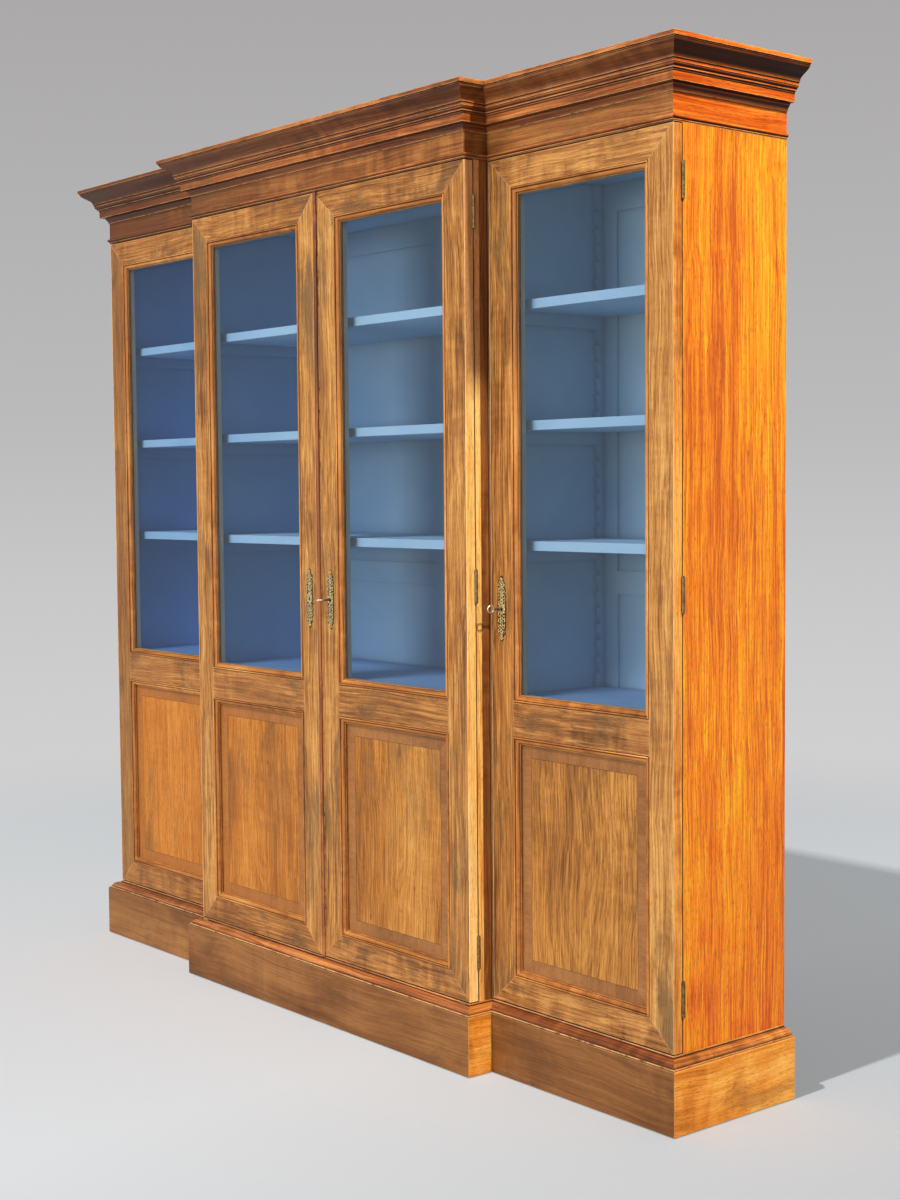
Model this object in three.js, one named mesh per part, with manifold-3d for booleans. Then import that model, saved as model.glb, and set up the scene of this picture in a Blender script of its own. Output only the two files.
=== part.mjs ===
// Breakfront bookcase with four glazed doors, in millimetres, +Z up.
// The origin is on the floor under the middle of the whole bookcase; the doors face -Y.
import * as THREE from 'three';
import { mergeVertices } from 'three/addons/utils/BufferGeometryUtils.js';
import Module from 'manifold-3d';

const wasm = await Module();
wasm.setup();

// Overall sizes
const overallHeight = 2300;
const carcassWidth = 2368;
const centreWidth = 1184;
const wingDepth = 360;
const breakDepth = 71;

// Gaps between pieces
const jointGap = 0.3;
const doorSetback = 1.5;
const seamGap = 1.5;
const doorEndGap = 2.5;
const doorSideGap = 3;
const meetingGap = 2;
const meetingOffset = 9;
const overrun = 5;
const embed = 1;

// Facets of curves and rods
const curveSteps = 5;
const boreSides = 12;
const rodSides = 10;
const knuckleSides = 8;
const boltSides = 6;
const piercingSides = 4;
const outlineSteps = 20;

// Plinth
const plinthHeight = 163;
const plinthProjection = 31;
const fasciaHeight = 141;
const fasciaThickness = 25;
const fasciaArris = 2;
const plinthFillet = 3;
const plinthQuirk = 5;
const plinthTopStep = 3;
const plinthLedge = 22;
const plinthRailThickness = 22;
const plinthBearerHeight = 95;

// Cornice and frieze
const corniceHeight = 163;
const corniceProjection = 70;
const corniceDrop = 102;
const friezeThickness = 22;
const astragalRise = 3;
const astragalHeight = 11;
const astragalProjection = 6;

// Carcass boards
const boardThickness = 22;
const bottomBoardThickness = 22;
const topBoardThickness = 25;
const wingStopThickness = 22;
const middleBoardHeight = 890;
const middleBoardThickness = 22;

// Framed back
const backThickness = 18;
const backStile = 58;
const backMuntin = 50;
const backTopRail = 93;
const backBottomRail = 87;
const backMiddleRail = 56;
const backMiddleRailHeight = 1119;
const backPanelThickness = 6;
const backPanelRecess = 7;

// Sawtooth strips, bearers and shelves
const stripWidth = 24;
const stripThickness = 11;
const stripSetback = 1;
const toothPitch = 40;
const toothDepth = 12;
const firstToothRise = 34;
const bearerHeight = 29;
const bearerThickness = 13;
const shelfThickness = 22;
const shelfEndGap = 1.5;
const shelfNotchGap = 2;
const shelfHeightShares = [0.25, 0.5, 0.75];
const lowerShelfHeight = 528;

// Doors
const doorThickness = 25;
const hingeStile = 73;
const wingLockStile = 76;
const meetingStile = 79;
const topRail = 67;
const middleRail = 80;
const bottomRail = 65;
const panelOpeningHeight = 570;
const rebateWidth = 8;
const rebateDepth = 13;
const paneClearance = 1;
const glassThickness = 3;
const panelThickness = 10;
const meetingBeadWidth = 19;
const meetingBeadProjection = 7;
const meetingBeadRise = 1.5;
const meetingBeadFillet = 3;

// Moulding round each opening of a door
const mouldingWidth = 17;
const beadWidth = 4;
const beadProjection = 2.8;
const quirkWidth = 1.5;
const quirkDepth = 1;
const ovoloDepth = 6;
const sightFillet = 2;

// Butt hinges
const hingeHeight = 78;
const hingeEndDistance = 117;
const knuckleRadius = 4;
const knuckleOutset = 3;
const knuckleGap = 0.3;
const knuckleCount = 3;
const pinRadius = 1.7;
const pinClearance = 0.4;
const pinCapHeight = 2;
const leafWidth = 20;
const leafThickness = 1.5;
const leafGap = 0.1;
const hingeRelief = 0.8;

// Locks, keys and escutcheons
const lockHeight = 1098;
const wingLockInset = 38;
const leftLockInset = 35;
const rightLockInset = 31;
const keyShankRadius = 2.5;
const keyShankClearance = 0.5;
const keyBowRadius = 11;
const keyBowHoleRadius = 7.2;
const keyBowThickness = 4;
const keyProjection = 45;
const keyCollarRadius = 4;
const keyCollarLength = 3;
const keyCollarStandoff = 6;
const keyBitLength = 6;
const keyBitThickness = 2;
const keyBitRadius = 7.5;
const lockCavityRadius = 8.5;
const lockCavityStart = 9;
const lockCavityEnd = 18;
const boltTail = 6;
const boltThickness = 3.5;
const boltHeight = 9;
const boltRise = 16;
const boltSetback = 16;
const boltClearance = 0.3;
const boltThrow = 14;
const boltEdgeGap = 0.5;
const boltMortiseClearance = 1.5;
const escutcheonHeight = 156;
const escutcheonWidth = 24;
const escutcheonThickness = 1.6;
const keyholeRadius = 3.4;
const piercingRadius = 2.6;
const piercingSpread = 5;

// Slide bolts inside the left centre door
const slideBoltRadius = 4;
const slideBoltLength = 150;
const slideBoltStandoff = 9.5;
const slideBoltInset = 30;
const slideBoltThrow = 12;
const slideBoltEndGap = 5;
const slideBoltSocketClearance = 1;
const slideBoltSocketDepth = 12;
const slideBoltKnobRadius = 4;
const slideBoltKnobLength = 8;
const guideWidth = 20;
const guideDepth = 15;
const guideHeight = 12;
const guideClearance = 0.5;
const guidePlateThickness = 2;
const guidePlateWidth = 26;
const guideInset = 20;

// Places worked out from the sizes above
const halfWidth = carcassWidth / 2;
const halfCentre = centreWidth / 2;
const backY = (wingDepth + breakDepth + corniceProjection) / 2;
const wingFaceY = backY - wingDepth;
const centreFaceY = wingFaceY - breakDepth;
const edgeSetback = doorSetback + doorThickness + seamGap;
const wingEdgeY = wingFaceY + edgeSetback;
const centreEdgeY = centreFaceY + edgeSetback;
const backFrontY = backY - backThickness;
const innerBackY = backFrontY - jointGap;
const carcassTopZ = overallHeight - corniceHeight;
const bottomBoardTopZ = plinthHeight + jointGap + bottomBoardThickness;
const topBoardUnderZ = carcassTopZ - jointGap - topBoardThickness;
const middleBoardUnderZ = middleBoardHeight - middleBoardThickness;
const sideInnerX = halfWidth - boardThickness;
const partitionInnerX = halfCentre - boardThickness;
const wingInnerX = halfCentre + wingStopThickness;
const doorBottomZ = plinthHeight + doorEndGap;
const doorHeight = carcassTopZ - plinthHeight - 2 * doorEndGap;
const doorBackY = -seamGap / 2;
const doorFrontY = doorBackY - doorThickness;
const lockZ = lockHeight - doorBottomZ;
const mortiseDepth = boltThrow + boltMortiseClearance;
const glassBottomZ = bottomRail + panelOpeningHeight + middleRail;
const reliefRadius = knuckleRadius + hingeRelief;
const hingeHeights = [hingeEndDistance, doorHeight / 2, doorHeight - hingeEndDistance];
const hingeNames = ['bottom', 'middle', 'top'];
const wingDoorWidth = halfWidth - halfCentre - doorSideGap;
const leftCentreDoorWidth = halfCentre - meetingOffset - meetingGap / 2;
const rightCentreDoorWidth = halfCentre + meetingOffset - meetingGap / 2;

// Directions that an outline drawn in a plane is turned to
const unitX = new THREE.Vector3(1, 0, 0);
const unitY = new THREE.Vector3(0, 1, 0);
const unitZ = new THREE.Vector3(0, 0, 1);
const drawnFromSide = new THREE.Matrix4().makeBasis(unitY, unitZ, unitX);
const drawnFromFront = new THREE.Matrix4().makeBasis(unitX, unitZ, unitY.clone().negate());

// Materials
function material(color, roughness, metalness) {
  return new THREE.MeshStandardMaterial({ color, roughness, metalness, flatShading: true });
}

const mahogany = material(0xa8682e, 0.42, 0);
const redMahogany = material(0x8c4a22, 0.4, 0);
const bluePaint = material(0x5f7f9f, 0.6, 0);
const brass = material(0xb08d4a, 0.35, 0.9);
const steel = material(0x9a9890, 0.4, 0.9);
const glass = new THREE.MeshStandardMaterial({
  color: 0xcfdde0, roughness: 0.05, metalness: 0, transparent: true, opacity: 0.25,
});

// Solids
function solidOf(geometry) {
  geometry.deleteAttribute('normal');
  geometry.deleteAttribute('uv');
  const merged = mergeVertices(geometry);
  return new wasm.Manifold(new wasm.Mesh({
    numProp: 3,
    vertProperties: new Float32Array(merged.attributes.position.array),
    triVerts: new Uint32Array(merged.index.array),
  }));
}

function geometryOf(solid) {
  const mesh = solid.getMesh();
  const indexed = new THREE.BufferGeometry();
  indexed.setAttribute('position', new THREE.BufferAttribute(mesh.vertProperties, mesh.numProp));
  indexed.setIndex(new THREE.BufferAttribute(mesh.triVerts, 1));
  const geometry = indexed.toNonIndexed();
  geometry.computeVertexNormals();
  return geometry;
}

function joined(solids) {
  return solids.reduce((whole, piece) => whole.add(piece));
}

function cutBy(solid, cutters) {
  return cutters.reduce((rest, cutter) => rest.subtract(cutter), solid);
}

// A block between two corners
function block(low, high) {
  const [x0, y0, z0] = low;
  const [x1, y1, z1] = high;
  const geometry = new THREE.BoxGeometry(x1 - x0, y1 - y0, z1 - z0);
  geometry.translate((x0 + x1) / 2, (y0 + y1) / 2, (z0 + z1) / 2);
  return solidOf(geometry);
}

function shapeOf(points) {
  return new THREE.Shape(points.map(([across, up]) => new THREE.Vector2(across, up)));
}

function rectangle(low, high) {
  return [low, [high[0], low[1]], high, [low[0], high[1]]];
}

// An outline given a thickness along the way it is drawn
function plate(points, thickness) {
  return new THREE.ExtrudeGeometry(shapeOf(points), { depth: thickness, bevelEnabled: false });
}

// A board drawn in the YZ plane, from x0 to x1
function boardAcross(points, x0, x1) {
  return solidOf(plate(points, x1 - x0).applyMatrix4(drawnFromSide).translate(x0, 0, 0));
}

// A board drawn in the XZ plane, from y0 in front to y1 behind, with holes right through it
function boardFacing(points, y0, y1, holes = []) {
  const board = solidOf(plate(points, y1 - y0).applyMatrix4(drawnFromFront).translate(0, y1, 0));
  return cutBy(board, holes.map((hole) => boardFacing(hole, y0 - overrun, y1 + overrun)));
}

// A board drawn in plan, from z0 up to z1
function boardLevel(points, z0, z1) {
  return solidOf(plate(points, z1 - z0).translate(0, 0, z0));
}

function uprightRod(radius, x, y, z0, z1, sides) {
  const geometry = new THREE.CylinderGeometry(radius, radius, z1 - z0, sides);
  geometry.rotateX(Math.PI / 2);
  geometry.translate(x, y, (z0 + z1) / 2);
  return solidOf(geometry);
}

function levelRod(radius, x, z, y0, y1, sides) {
  const geometry = new THREE.CylinderGeometry(radius, radius, y1 - y0, sides);
  geometry.translate(x, (y0 + y1) / 2, z);
  return solidOf(geometry);
}

// Carries a closed outline of [out, up] points along a level path, mitred at its corners.
// Out is to the right of the way the path runs.
function mitredSweep(path, outline, closed) {
  const section = outline.map(([out, up]) => new THREE.Vector2(out, up));
  if (THREE.ShapeUtils.isClockWise(section)) section.reverse();
  const corners = path.map(([x, y]) => new THREE.Vector2(x, y));
  const count = corners.length;
  const runs = closed ? count : count - 1;
  const outward = [];
  for (let i = 0; i < runs; i += 1) {
    const along = corners[(i + 1) % count].clone().sub(corners[i]).normalize();
    outward.push(new THREE.Vector2(along.y, -along.x));
  }
  const positions = [];
  corners.forEach((corner, i) => {
    const before = outward[closed ? (i + runs - 1) % runs : Math.max(i - 1, 0)];
    const after = outward[closed ? i : Math.min(i, runs - 1)];
    const mitre = before.clone().add(after).divideScalar(1 + before.dot(after));
    section.forEach(({ x: out, y: up }) => {
      positions.push(corner.x + mitre.x * out, corner.y + mitre.y * out, up);
    });
  });
  const width = section.length;
  const index = [];
  for (let i = 0; i < runs; i += 1) {
    for (let j = 0; j < width; j += 1) {
      const a = i * width + j;
      const b = i * width + ((j + 1) % width);
      const c = ((i + 1) % count) * width + j;
      const d = ((i + 1) % count) * width + ((j + 1) % width);
      index.push(a, c, b, b, c, d);
    }
  }
  if (!closed) {
    THREE.ShapeUtils.triangulateShape(section, []).forEach(([a, b, c]) => {
      const last = (count - 1) * width;
      index.push(a, b, c, last + a, last + c, last + b);
    });
  }
  const geometry = new THREE.BufferGeometry();
  geometry.setAttribute('position', new THREE.Float32BufferAttribute(positions, 3));
  geometry.setIndex(index);
  return geometry;
}

// Points on a curve between two corners: straight in height, easing in and out across
function cyma(start, end) {
  return Array.from({ length: curveSteps + 1 }, (_, i) => {
    const share = i / curveSteps;
    const eased = (1 - Math.cos(Math.PI * share)) / 2;
    return [start[0] + (end[0] - start[0]) * eased, start[1] + (end[1] - start[1]) * share];
  });
}

// Points on half an ellipse along a span, rising in the middle
function halfRound(span, rise) {
  return Array.from({ length: curveSteps + 1 }, (_, i) => {
    const angle = Math.PI * (i / curveSteps);
    return [(span / 2) * (1 - Math.cos(angle)), rise * Math.sin(angle)];
  });
}

// Points on a quarter of an ellipse, leaving start steeply and reaching end level
function quarterRound(start, end) {
  return Array.from({ length: curveSteps + 1 }, (_, i) => {
    const angle = (Math.PI / 2) * (i / curveSteps);
    const across = 1 - Math.cos(angle);
    const along = Math.sin(angle);
    return [start[0] + (end[0] - start[0]) * across, start[1] + (end[1] - start[1]) * along];
  });
}

// The mirror image in the middle plane of the bookcase
function mirrored(geometry) {
  const copy = geometry.clone().scale(-1, 1, 1);
  const { array } = copy.attributes.position;
  for (let i = 0; i < array.length; i += 9) {
    for (let j = 0; j < 3; j += 1) {
      const kept = array[i + 3 + j];
      array[i + 3 + j] = array[i + 6 + j];
      array[i + 6 + j] = kept;
    }
  }
  copy.computeVertexNormals();
  return copy;
}

// The path of the broken front: back of the left side, round the front, back of the right side
const frontPath = [
  [-halfWidth, backY], [-halfWidth, wingFaceY], [-halfCentre, wingFaceY],
  [-halfCentre, centreFaceY], [halfCentre, centreFaceY], [halfCentre, wingFaceY],
  [halfWidth, wingFaceY], [halfWidth, backY],
];

// Plinth: a fascia under a moulded ledge, a back rail and two bearers under the partitions
function plinthSolid() {
  const fasciaInner = plinthProjection - fasciaThickness;
  const filletOut = plinthProjection - fasciaArris - embed;
  const quirkOut = filletOut - plinthQuirk;
  const quirkZ = fasciaHeight + plinthFillet;
  const outline = [
    [fasciaInner, 0], [plinthProjection, 0], [plinthProjection, fasciaHeight - fasciaArris],
    [plinthProjection - fasciaArris, fasciaHeight], [filletOut, fasciaHeight], [filletOut, quirkZ],
    ...quarterRound([quirkOut, quirkZ], [plinthTopStep, plinthHeight - plinthTopStep]),
    [plinthTopStep, plinthHeight], [-plinthLedge, plinthHeight],
    [-plinthLedge, fasciaHeight], [fasciaInner, fasciaHeight],
  ];
  const rail = block(
    [-halfWidth - fasciaInner - embed, backY - plinthRailThickness, 0],
    [halfWidth + fasciaInner + embed, backY, plinthHeight],
  );
  const bearers = [-1, 1].map((side) => {
    const x = side * partitionInnerX;
    return block(
      [x - boardThickness / 2, centreFaceY - fasciaInner - embed, plinthHeight - plinthBearerHeight],
      [x + boardThickness / 2, backY - embed, plinthHeight - jointGap],
    );
  });
  return joined([solidOf(mitredSweep(frontPath, outline, false)), rail, ...bearers]);
}

// Frieze: a frame with an astragal round its foot and a plain back rail
function friezeSolid() {
  const beadBase = carcassTopZ + astragalRise;
  const bead = halfRound(astragalHeight, astragalProjection).map(([up, out]) => [out, beadBase + up]);
  const outline = [
    [-friezeThickness, carcassTopZ], [0, carcassTopZ], ...bead,
    [0, overallHeight], [-friezeThickness, overallHeight],
  ];
  const rail = block(
    [embed - halfWidth, backY - friezeThickness, carcassTopZ],
    [halfWidth - embed, backY, overallHeight],
  );
  return joined([solidOf(mitredSweep(frontPath, outline, false)), rail]);
}

// Cornice moulding, from the top down: fillet, cyma, two steps, quirk, corona and cavetto.
// The corners' overhangs and drops are shares of the whole projection and the whole drop.
const corniceOutShares = [1, 0.93, 0.52, 0.49, 0.4, 0.4, 0.34, 0.31, 0.32, 0.13, 0.04];
const corniceDropShares = [0.09, 0.11, 0.4, 0.49, 0.52, 0.61, 0.61, 0.65, 0.83, 0.85, 0.96];

function corniceSolid() {
  const corners = corniceOutShares.map((share, i) => (
    [share * corniceProjection, overallHeight - corniceDropShares[i] * corniceDrop]));
  const [fillet, cymaTop, cymaFoot, ...steps] = corners;
  const [cavettoTop, cavettoFoot] = steps.splice(-2);
  const outline = [
    [jointGap, overallHeight], [corniceProjection, overallHeight], fillet,
    ...cyma(cymaTop, cymaFoot), ...steps, ...cyma(cavettoTop, cavettoFoot),
    [jointGap, overallHeight - corniceDrop],
  ];
  return solidOf(mitredSweep(frontPath, outline, false));
}

// Plan of the bottom and top boards, between the sides and round the partitions
function boardPlan() {
  const wingX = sideInnerX - jointGap;
  const centreX = partitionInnerX - jointGap;
  return [
    [-wingX, innerBackY], [-wingX, wingEdgeY], [-centreX, wingEdgeY], [-centreX, centreEdgeY],
    [centreX, centreEdgeY], [centreX, wingEdgeY], [wingX, wingEdgeY], [wingX, innerBackY],
  ];
}

// Socket that a slide bolt shoots into
function slideBoltSocket(z0, z1) {
  const x = -(meetingOffset + meetingGap / 2 + slideBoltInset);
  const y = centreEdgeY - seamGap / 2 + doorBackY + slideBoltStandoff;
  return uprightRod(slideBoltRadius + slideBoltSocketClearance, x, y, z0, z1, rodSides);
}

function bottomBoardSolid() {
  const board = boardLevel(boardPlan(), plinthHeight + jointGap, bottomBoardTopZ);
  return board.subtract(slideBoltSocket(bottomBoardTopZ - slideBoltSocketDepth, bottomBoardTopZ + overrun));
}

function topBoardSolid() {
  const board = boardLevel(boardPlan(), topBoardUnderZ, carcassTopZ - jointGap);
  return board.subtract(slideBoltSocket(topBoardUnderZ - overrun, topBoardUnderZ + slideBoltSocketDepth));
}

// Teeth of a strip, and those that carry the shelves
const toothRoom = topBoardUnderZ - jointGap - middleBoardHeight - firstToothRise;
const toothCount = Math.floor(toothRoom / toothPitch);
const shelfTeeth = shelfHeightShares.map((share) => Math.floor(share * toothCount));

// Heights of a tooth's ledge, and of the underside of the shelf whose bearers stand on it
function ledgeZ(tooth) {
  return middleBoardHeight + firstToothRise + tooth * toothPitch;
}

function shelfZ(tooth) {
  return ledgeZ(tooth) + bearerHeight;
}

// Sawtooth strip standing from plainY to toothedY; the teeth cut back towards plainY
function stripOutline(plainY, toothedY) {
  const low = middleBoardHeight + jointGap;
  const high = topBoardUnderZ - jointGap;
  const edge = [];
  for (let tooth = 0; tooth < toothCount; tooth += 1) {
    edge.push([toothedY, ledgeZ(tooth)]);
    edge.push([toothedY + Math.sign(plainY - toothedY) * toothDepth, ledgeZ(tooth)]);
  }
  return [
    [plainY, low], [toothedY, low], ...edge, [toothedY, ledgeZ(toothCount)], [toothedY, high], [plainY, high],
  ];
}

// Bearer whose ends are cut to the slope of the teeth that it drops into
function bearerOutline(tooth, frontTeethY, rearTeethY) {
  const ledge = ledgeZ(tooth);
  const slope = toothDepth / toothPitch;
  const reach = toothDepth + embed / 2;
  const topReach = reach - bearerHeight * slope;
  return [
    [frontTeethY - reach, ledge - embed / 2], [rearTeethY + reach, ledge - embed / 2],
    [rearTeethY + topReach, ledge + bearerHeight - jointGap],
    [frontTeethY - topReach, ledge + bearerHeight - jointGap],
  ];
}

// Strips and bearers on an inner face at faceX, standing out towards side (+1 or -1) in X
function shelfSupports(faceX, side, edgeY) {
  const frontY = edgeY + stripSetback;
  const frontTeethY = frontY + stripWidth;
  const rearTeethY = innerBackY - stripWidth;
  const thick = (points, thickness) => {
    const [x0, x1] = [faceX - side * embed, faceX + side * thickness].sort((a, b) => a - b);
    return boardAcross(points, x0, x1);
  };
  const batten = rectangle(
    [frontTeethY, lowerShelfHeight - jointGap - bearerHeight], [innerBackY, lowerShelfHeight - jointGap],
  );
  return [
    thick(batten, bearerThickness),
    thick(stripOutline(frontY, frontTeethY), stripThickness),
    thick(stripOutline(innerBackY, rearTeethY), stripThickness),
    ...shelfTeeth.map((tooth) => thick(bearerOutline(tooth, frontTeethY, rearTeethY), bearerThickness)),
  ];
}

// Recess in a board's front edge for the fixed leaves of a door's hinges, with room for the
// knuckles; the pins stand at axisX, outside the board, and inwards is +1 or -1 in X
function hingeRecesses(axisX, axisY, inwards) {
  return hingeHeights.flatMap((height) => {
    const z0 = doorBottomZ + height - hingeHeight / 2 - jointGap;
    const z1 = doorBottomZ + height + hingeHeight / 2 + jointGap;
    const [x0, x1] = [axisX, axisX + inwards * (knuckleOutset + leafWidth + jointGap)]
      .sort((a, b) => a - b);
    const depth = leafGap + leafThickness + jointGap;
    return [
      block([x0, axisY - overrun, z0], [x1, axisY + depth, z1]),
      uprightRod(reliefRadius, axisX, axisY, z0, z1, knuckleSides),
    ];
  });
}

const sideBoardLowZ = plinthHeight + jointGap;
const sideBoardHighZ = carcassTopZ - jointGap;

function rightSideSolid() {
  const board = boardAcross(
    rectangle([wingEdgeY, sideBoardLowZ], [backY, sideBoardHighZ]), sideInnerX, halfWidth,
  );
  const cut = cutBy(board, hingeRecesses(halfWidth + knuckleOutset, wingEdgeY - seamGap / 2, -1));
  return joined([cut, ...shelfSupports(sideInnerX, -1, wingEdgeY)]);
}

// Right partition: the side of the centre section, with the wing's stop board glued to it.
// The front strip runs the full height; behind it the board stands between bottom and top boards.
function rightPartitionSolid() {
  const low = bottomBoardTopZ + jointGap;
  const high = topBoardUnderZ - jointGap;
  const stripBackY = wingEdgeY - jointGap;
  const centreBoard = boardAcross([
    [centreEdgeY, sideBoardLowZ], [stripBackY, sideBoardLowZ], [stripBackY, low],
    [innerBackY, low], [innerBackY, high], [stripBackY, high],
    [stripBackY, sideBoardHighZ], [centreEdgeY, sideBoardHighZ],
  ], partitionInnerX, halfCentre);
  const wingStop = boardAcross(
    rectangle([wingEdgeY, low], [innerBackY, high]), halfCentre - embed, wingInnerX,
  );
  const mortiseY = wingFaceY + doorSetback + boltSetback;
  const mortiseZ = lockHeight + boltRise;
  const mortise = block(
    [halfCentre - mortiseDepth, mortiseY - boltThickness / 2 - boltClearance,
      mortiseZ - boltHeight / 2 - boltClearance],
    [halfCentre + overrun, mortiseY + boltThickness / 2 + boltClearance,
      mortiseZ + boltHeight / 2 + boltClearance],
  );
  const hinges = hingeRecesses(halfCentre + knuckleOutset, centreEdgeY - seamGap / 2, -1);
  const cut = cutBy(joined([centreBoard, wingStop]), [mortise, ...hinges]);
  return joined([
    cut,
    ...shelfSupports(partitionInnerX, -1, centreEdgeY),
    ...shelfSupports(wingInnerX, 1, wingEdgeY),
  ]);
}

// Framed back: a thin sheet of panels held in rails, stiles and a muntin
function backSolid() {
  const halfBack = sideInnerX - jointGap;
  const frame = rectangle([-halfBack, sideBoardLowZ], [halfBack, sideBoardHighZ]);
  const rows = [
    [sideBoardLowZ + backBottomRail, backMiddleRailHeight],
    [backMiddleRailHeight + backMiddleRail, sideBoardHighZ - backTopRail],
  ];
  const columns = [
    [-sideInnerX + backStile, -wingInnerX - backStile],
    [-partitionInnerX + backStile, -backMuntin / 2],
    [backMuntin / 2, partitionInnerX - backStile],
    [wingInnerX + backStile, sideInnerX - backStile],
  ];
  const holes = rows.flatMap(([z0, z1]) => columns.map(([x0, x1]) => rectangle([x0, z0], [x1, z1])));
  const panelY = backFrontY + backPanelRecess;
  const inset = rectangle(
    [-halfBack + embed, sideBoardLowZ + embed], [halfBack - embed, sideBoardHighZ - embed],
  );
  return joined([
    boardFacing(frame, backFrontY, backY, holes),
    boardFacing(inset, panelY, panelY + backPanelThickness),
  ]);
}

// A shelf of a compartment that runs from x0 to x1, notched at the back round the rear strips
function shelfSolid(x0, x1, edgeY) {
  const low = x0 + shelfEndGap;
  const high = x1 - shelfEndGap;
  const frontY = edgeY + stripSetback + stripWidth + embed;
  const notchY = innerBackY - stripWidth - shelfNotchGap;
  const notch = stripThickness + shelfNotchGap;
  const rearY = innerBackY - jointGap;
  return boardLevel([
    [low, frontY], [high, frontY], [high, notchY], [high - notch, notchY], [high - notch, rearY],
    [low + notch, rearY], [low + notch, notchY], [low, notchY],
  ], 0, shelfThickness);
}

// The shelf of a cupboard, resting on plain battens
function lowerShelfSolid(x0, x1, edgeY) {
  const frontY = edgeY + stripSetback + stripWidth + embed;
  return boardLevel(
    rectangle([x0 + shelfEndGap, frontY], [x1 - shelfEndGap, innerBackY - jointGap]), 0, shelfThickness,
  );
}

function middleBoardSolid(x0, x1, edgeY) {
  return boardLevel(rectangle([x0 + jointGap, edgeY], [x1 - jointGap, innerBackY]), 0, middleBoardThickness);
}

// Doors. Each is drawn hinged on the left: the pin is the line x = 0, y = 0, the outer edge is
// at x = knuckleOutset, and z = 0 is the foot of the door. A right-hand door is its mirror image.

// Outline of the moulding: bead, quirk, ovolo and fillet, from the frame in to the opening
function mouldingOutline() {
  const ovoloStart = beadWidth + quirkWidth;
  const ovoloEnd = mouldingWidth - sightFillet;
  const face = [
    ...halfRound(beadWidth, beadProjection), [beadWidth, -quirkDepth],
    ...quarterRound([ovoloEnd, -quirkDepth - ovoloDepth], [ovoloStart, -quirkDepth]).reverse(),
    [mouldingWidth, -quirkDepth - ovoloDepth], [mouldingWidth, -rebateDepth],
    [-embed, -rebateDepth], [-embed, -embed],
  ];
  return face.map(([inwards, proud]) => [-inwards, proud]);
}

function openingRight(door) {
  return knuckleOutset + door.width - door.lockStile;
}

function openingRectangle(door, { z0, z1 }, inset) {
  const left = knuckleOutset + hingeStile + inset;
  return rectangle([left, z0 + inset], [openingRight(door) - inset, z1 - inset]);
}

// Line of the key, at the middle of the escutcheon
function lockLine(door) {
  return openingRight(door) + door.lockInset;
}

function boltLength(door) {
  return knuckleOutset + door.width - boltEdgeGap - lockLine(door) + boltTail;
}

const openings = [
  { z0: bottomRail, z1: bottomRail + panelOpeningHeight },
  { z0: glassBottomZ, z1: doorHeight - topRail },
];

// Moving leaf of a hinge with its knuckles, bored for the pin
function movingLeaf(height) {
  const z0 = height - hingeHeight / 2;
  const step = hingeHeight / knuckleCount;
  const plateX = reliefRadius + leafGap;
  const leaf = block(
    [plateX, -leafGap - leafThickness, z0], [knuckleOutset + leafWidth, -leafGap, z0 + hingeHeight],
  );
  const knuckles = [];
  for (let i = 1; i < knuckleCount; i += 2) {
    const low = z0 + i * step + knuckleGap / 2;
    const high = z0 + (i + 1) * step - knuckleGap / 2;
    const knuckle = joined([
      uprightRod(knuckleRadius, 0, 0, low, high, knuckleSides),
      block([0, -leafGap - leafThickness, low], [plateX + embed, -leafGap, high]),
    ]);
    knuckles.push(knuckle.subtract(
      uprightRod(pinRadius + pinClearance, 0, 0, low - overrun, high + overrun, boltSides),
    ));
  }
  return joined([leaf, ...knuckles]);
}

// Fixed leaf of a hinge, with the other knuckles, the pin and its caps; z = 0 is its middle
function fixedLeafSolid() {
  const z0 = -hingeHeight / 2;
  const step = hingeHeight / knuckleCount;
  const plateX = reliefRadius + leafGap;
  const leaf = block(
    [plateX, leafGap, z0], [knuckleOutset + leafWidth, leafGap + leafThickness, z0 + hingeHeight],
  );
  const pin = uprightRod(pinRadius, 0, 0, z0 - pinCapHeight, z0 + hingeHeight + pinCapHeight, boltSides);
  const knuckles = [];
  for (let i = 0; i < knuckleCount; i += 2) {
    const low = z0 + i * step + (i > 0 ? knuckleGap / 2 : 0);
    const high = z0 + (i + 1) * step - (i < knuckleCount - 1 ? knuckleGap / 2 : 0);
    knuckles.push(uprightRod(knuckleRadius, 0, 0, low, high, knuckleSides));
    knuckles.push(block([0, leafGap, low], [plateX + embed, leafGap + leafThickness, high]));
  }
  return joined([leaf, pin, ...knuckles]);
}

// Room for a hinge's knuckles and fixed leaf in the edge of a door
function doorHingeRelief(height) {
  const z0 = height - hingeHeight / 2 - pinCapHeight - jointGap;
  const z1 = height + hingeHeight / 2 + pinCapHeight + jointGap;
  return uprightRod(reliefRadius, 0, 0, z0, z1, knuckleSides);
}

// Slot in the free edge that the lock's bolt slides in, or that a bolt from the other leaf enters
function boltSlot(freeX, depth) {
  const y = doorFrontY + boltSetback;
  const z = lockZ + boltRise;
  return block(
    [freeX - depth, y - boltThickness / 2 - boltClearance, z - boltHeight / 2 - boltClearance],
    [freeX + overrun, y + boltThickness / 2 + boltClearance, z + boltHeight / 2 + boltClearance],
  );
}

// Keyhole through the stile, opening into the round chamber that the key's bit turns in
function keyway(lockX) {
  return [
    levelRod(keyShankRadius + keyShankClearance, lockX, lockZ,
      doorFrontY - overrun, doorFrontY + lockCavityStart + embed, rodSides),
    levelRod(lockCavityRadius, lockX, lockZ,
      doorFrontY + lockCavityStart, doorFrontY + lockCavityEnd, boreSides),
  ];
}

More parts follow.
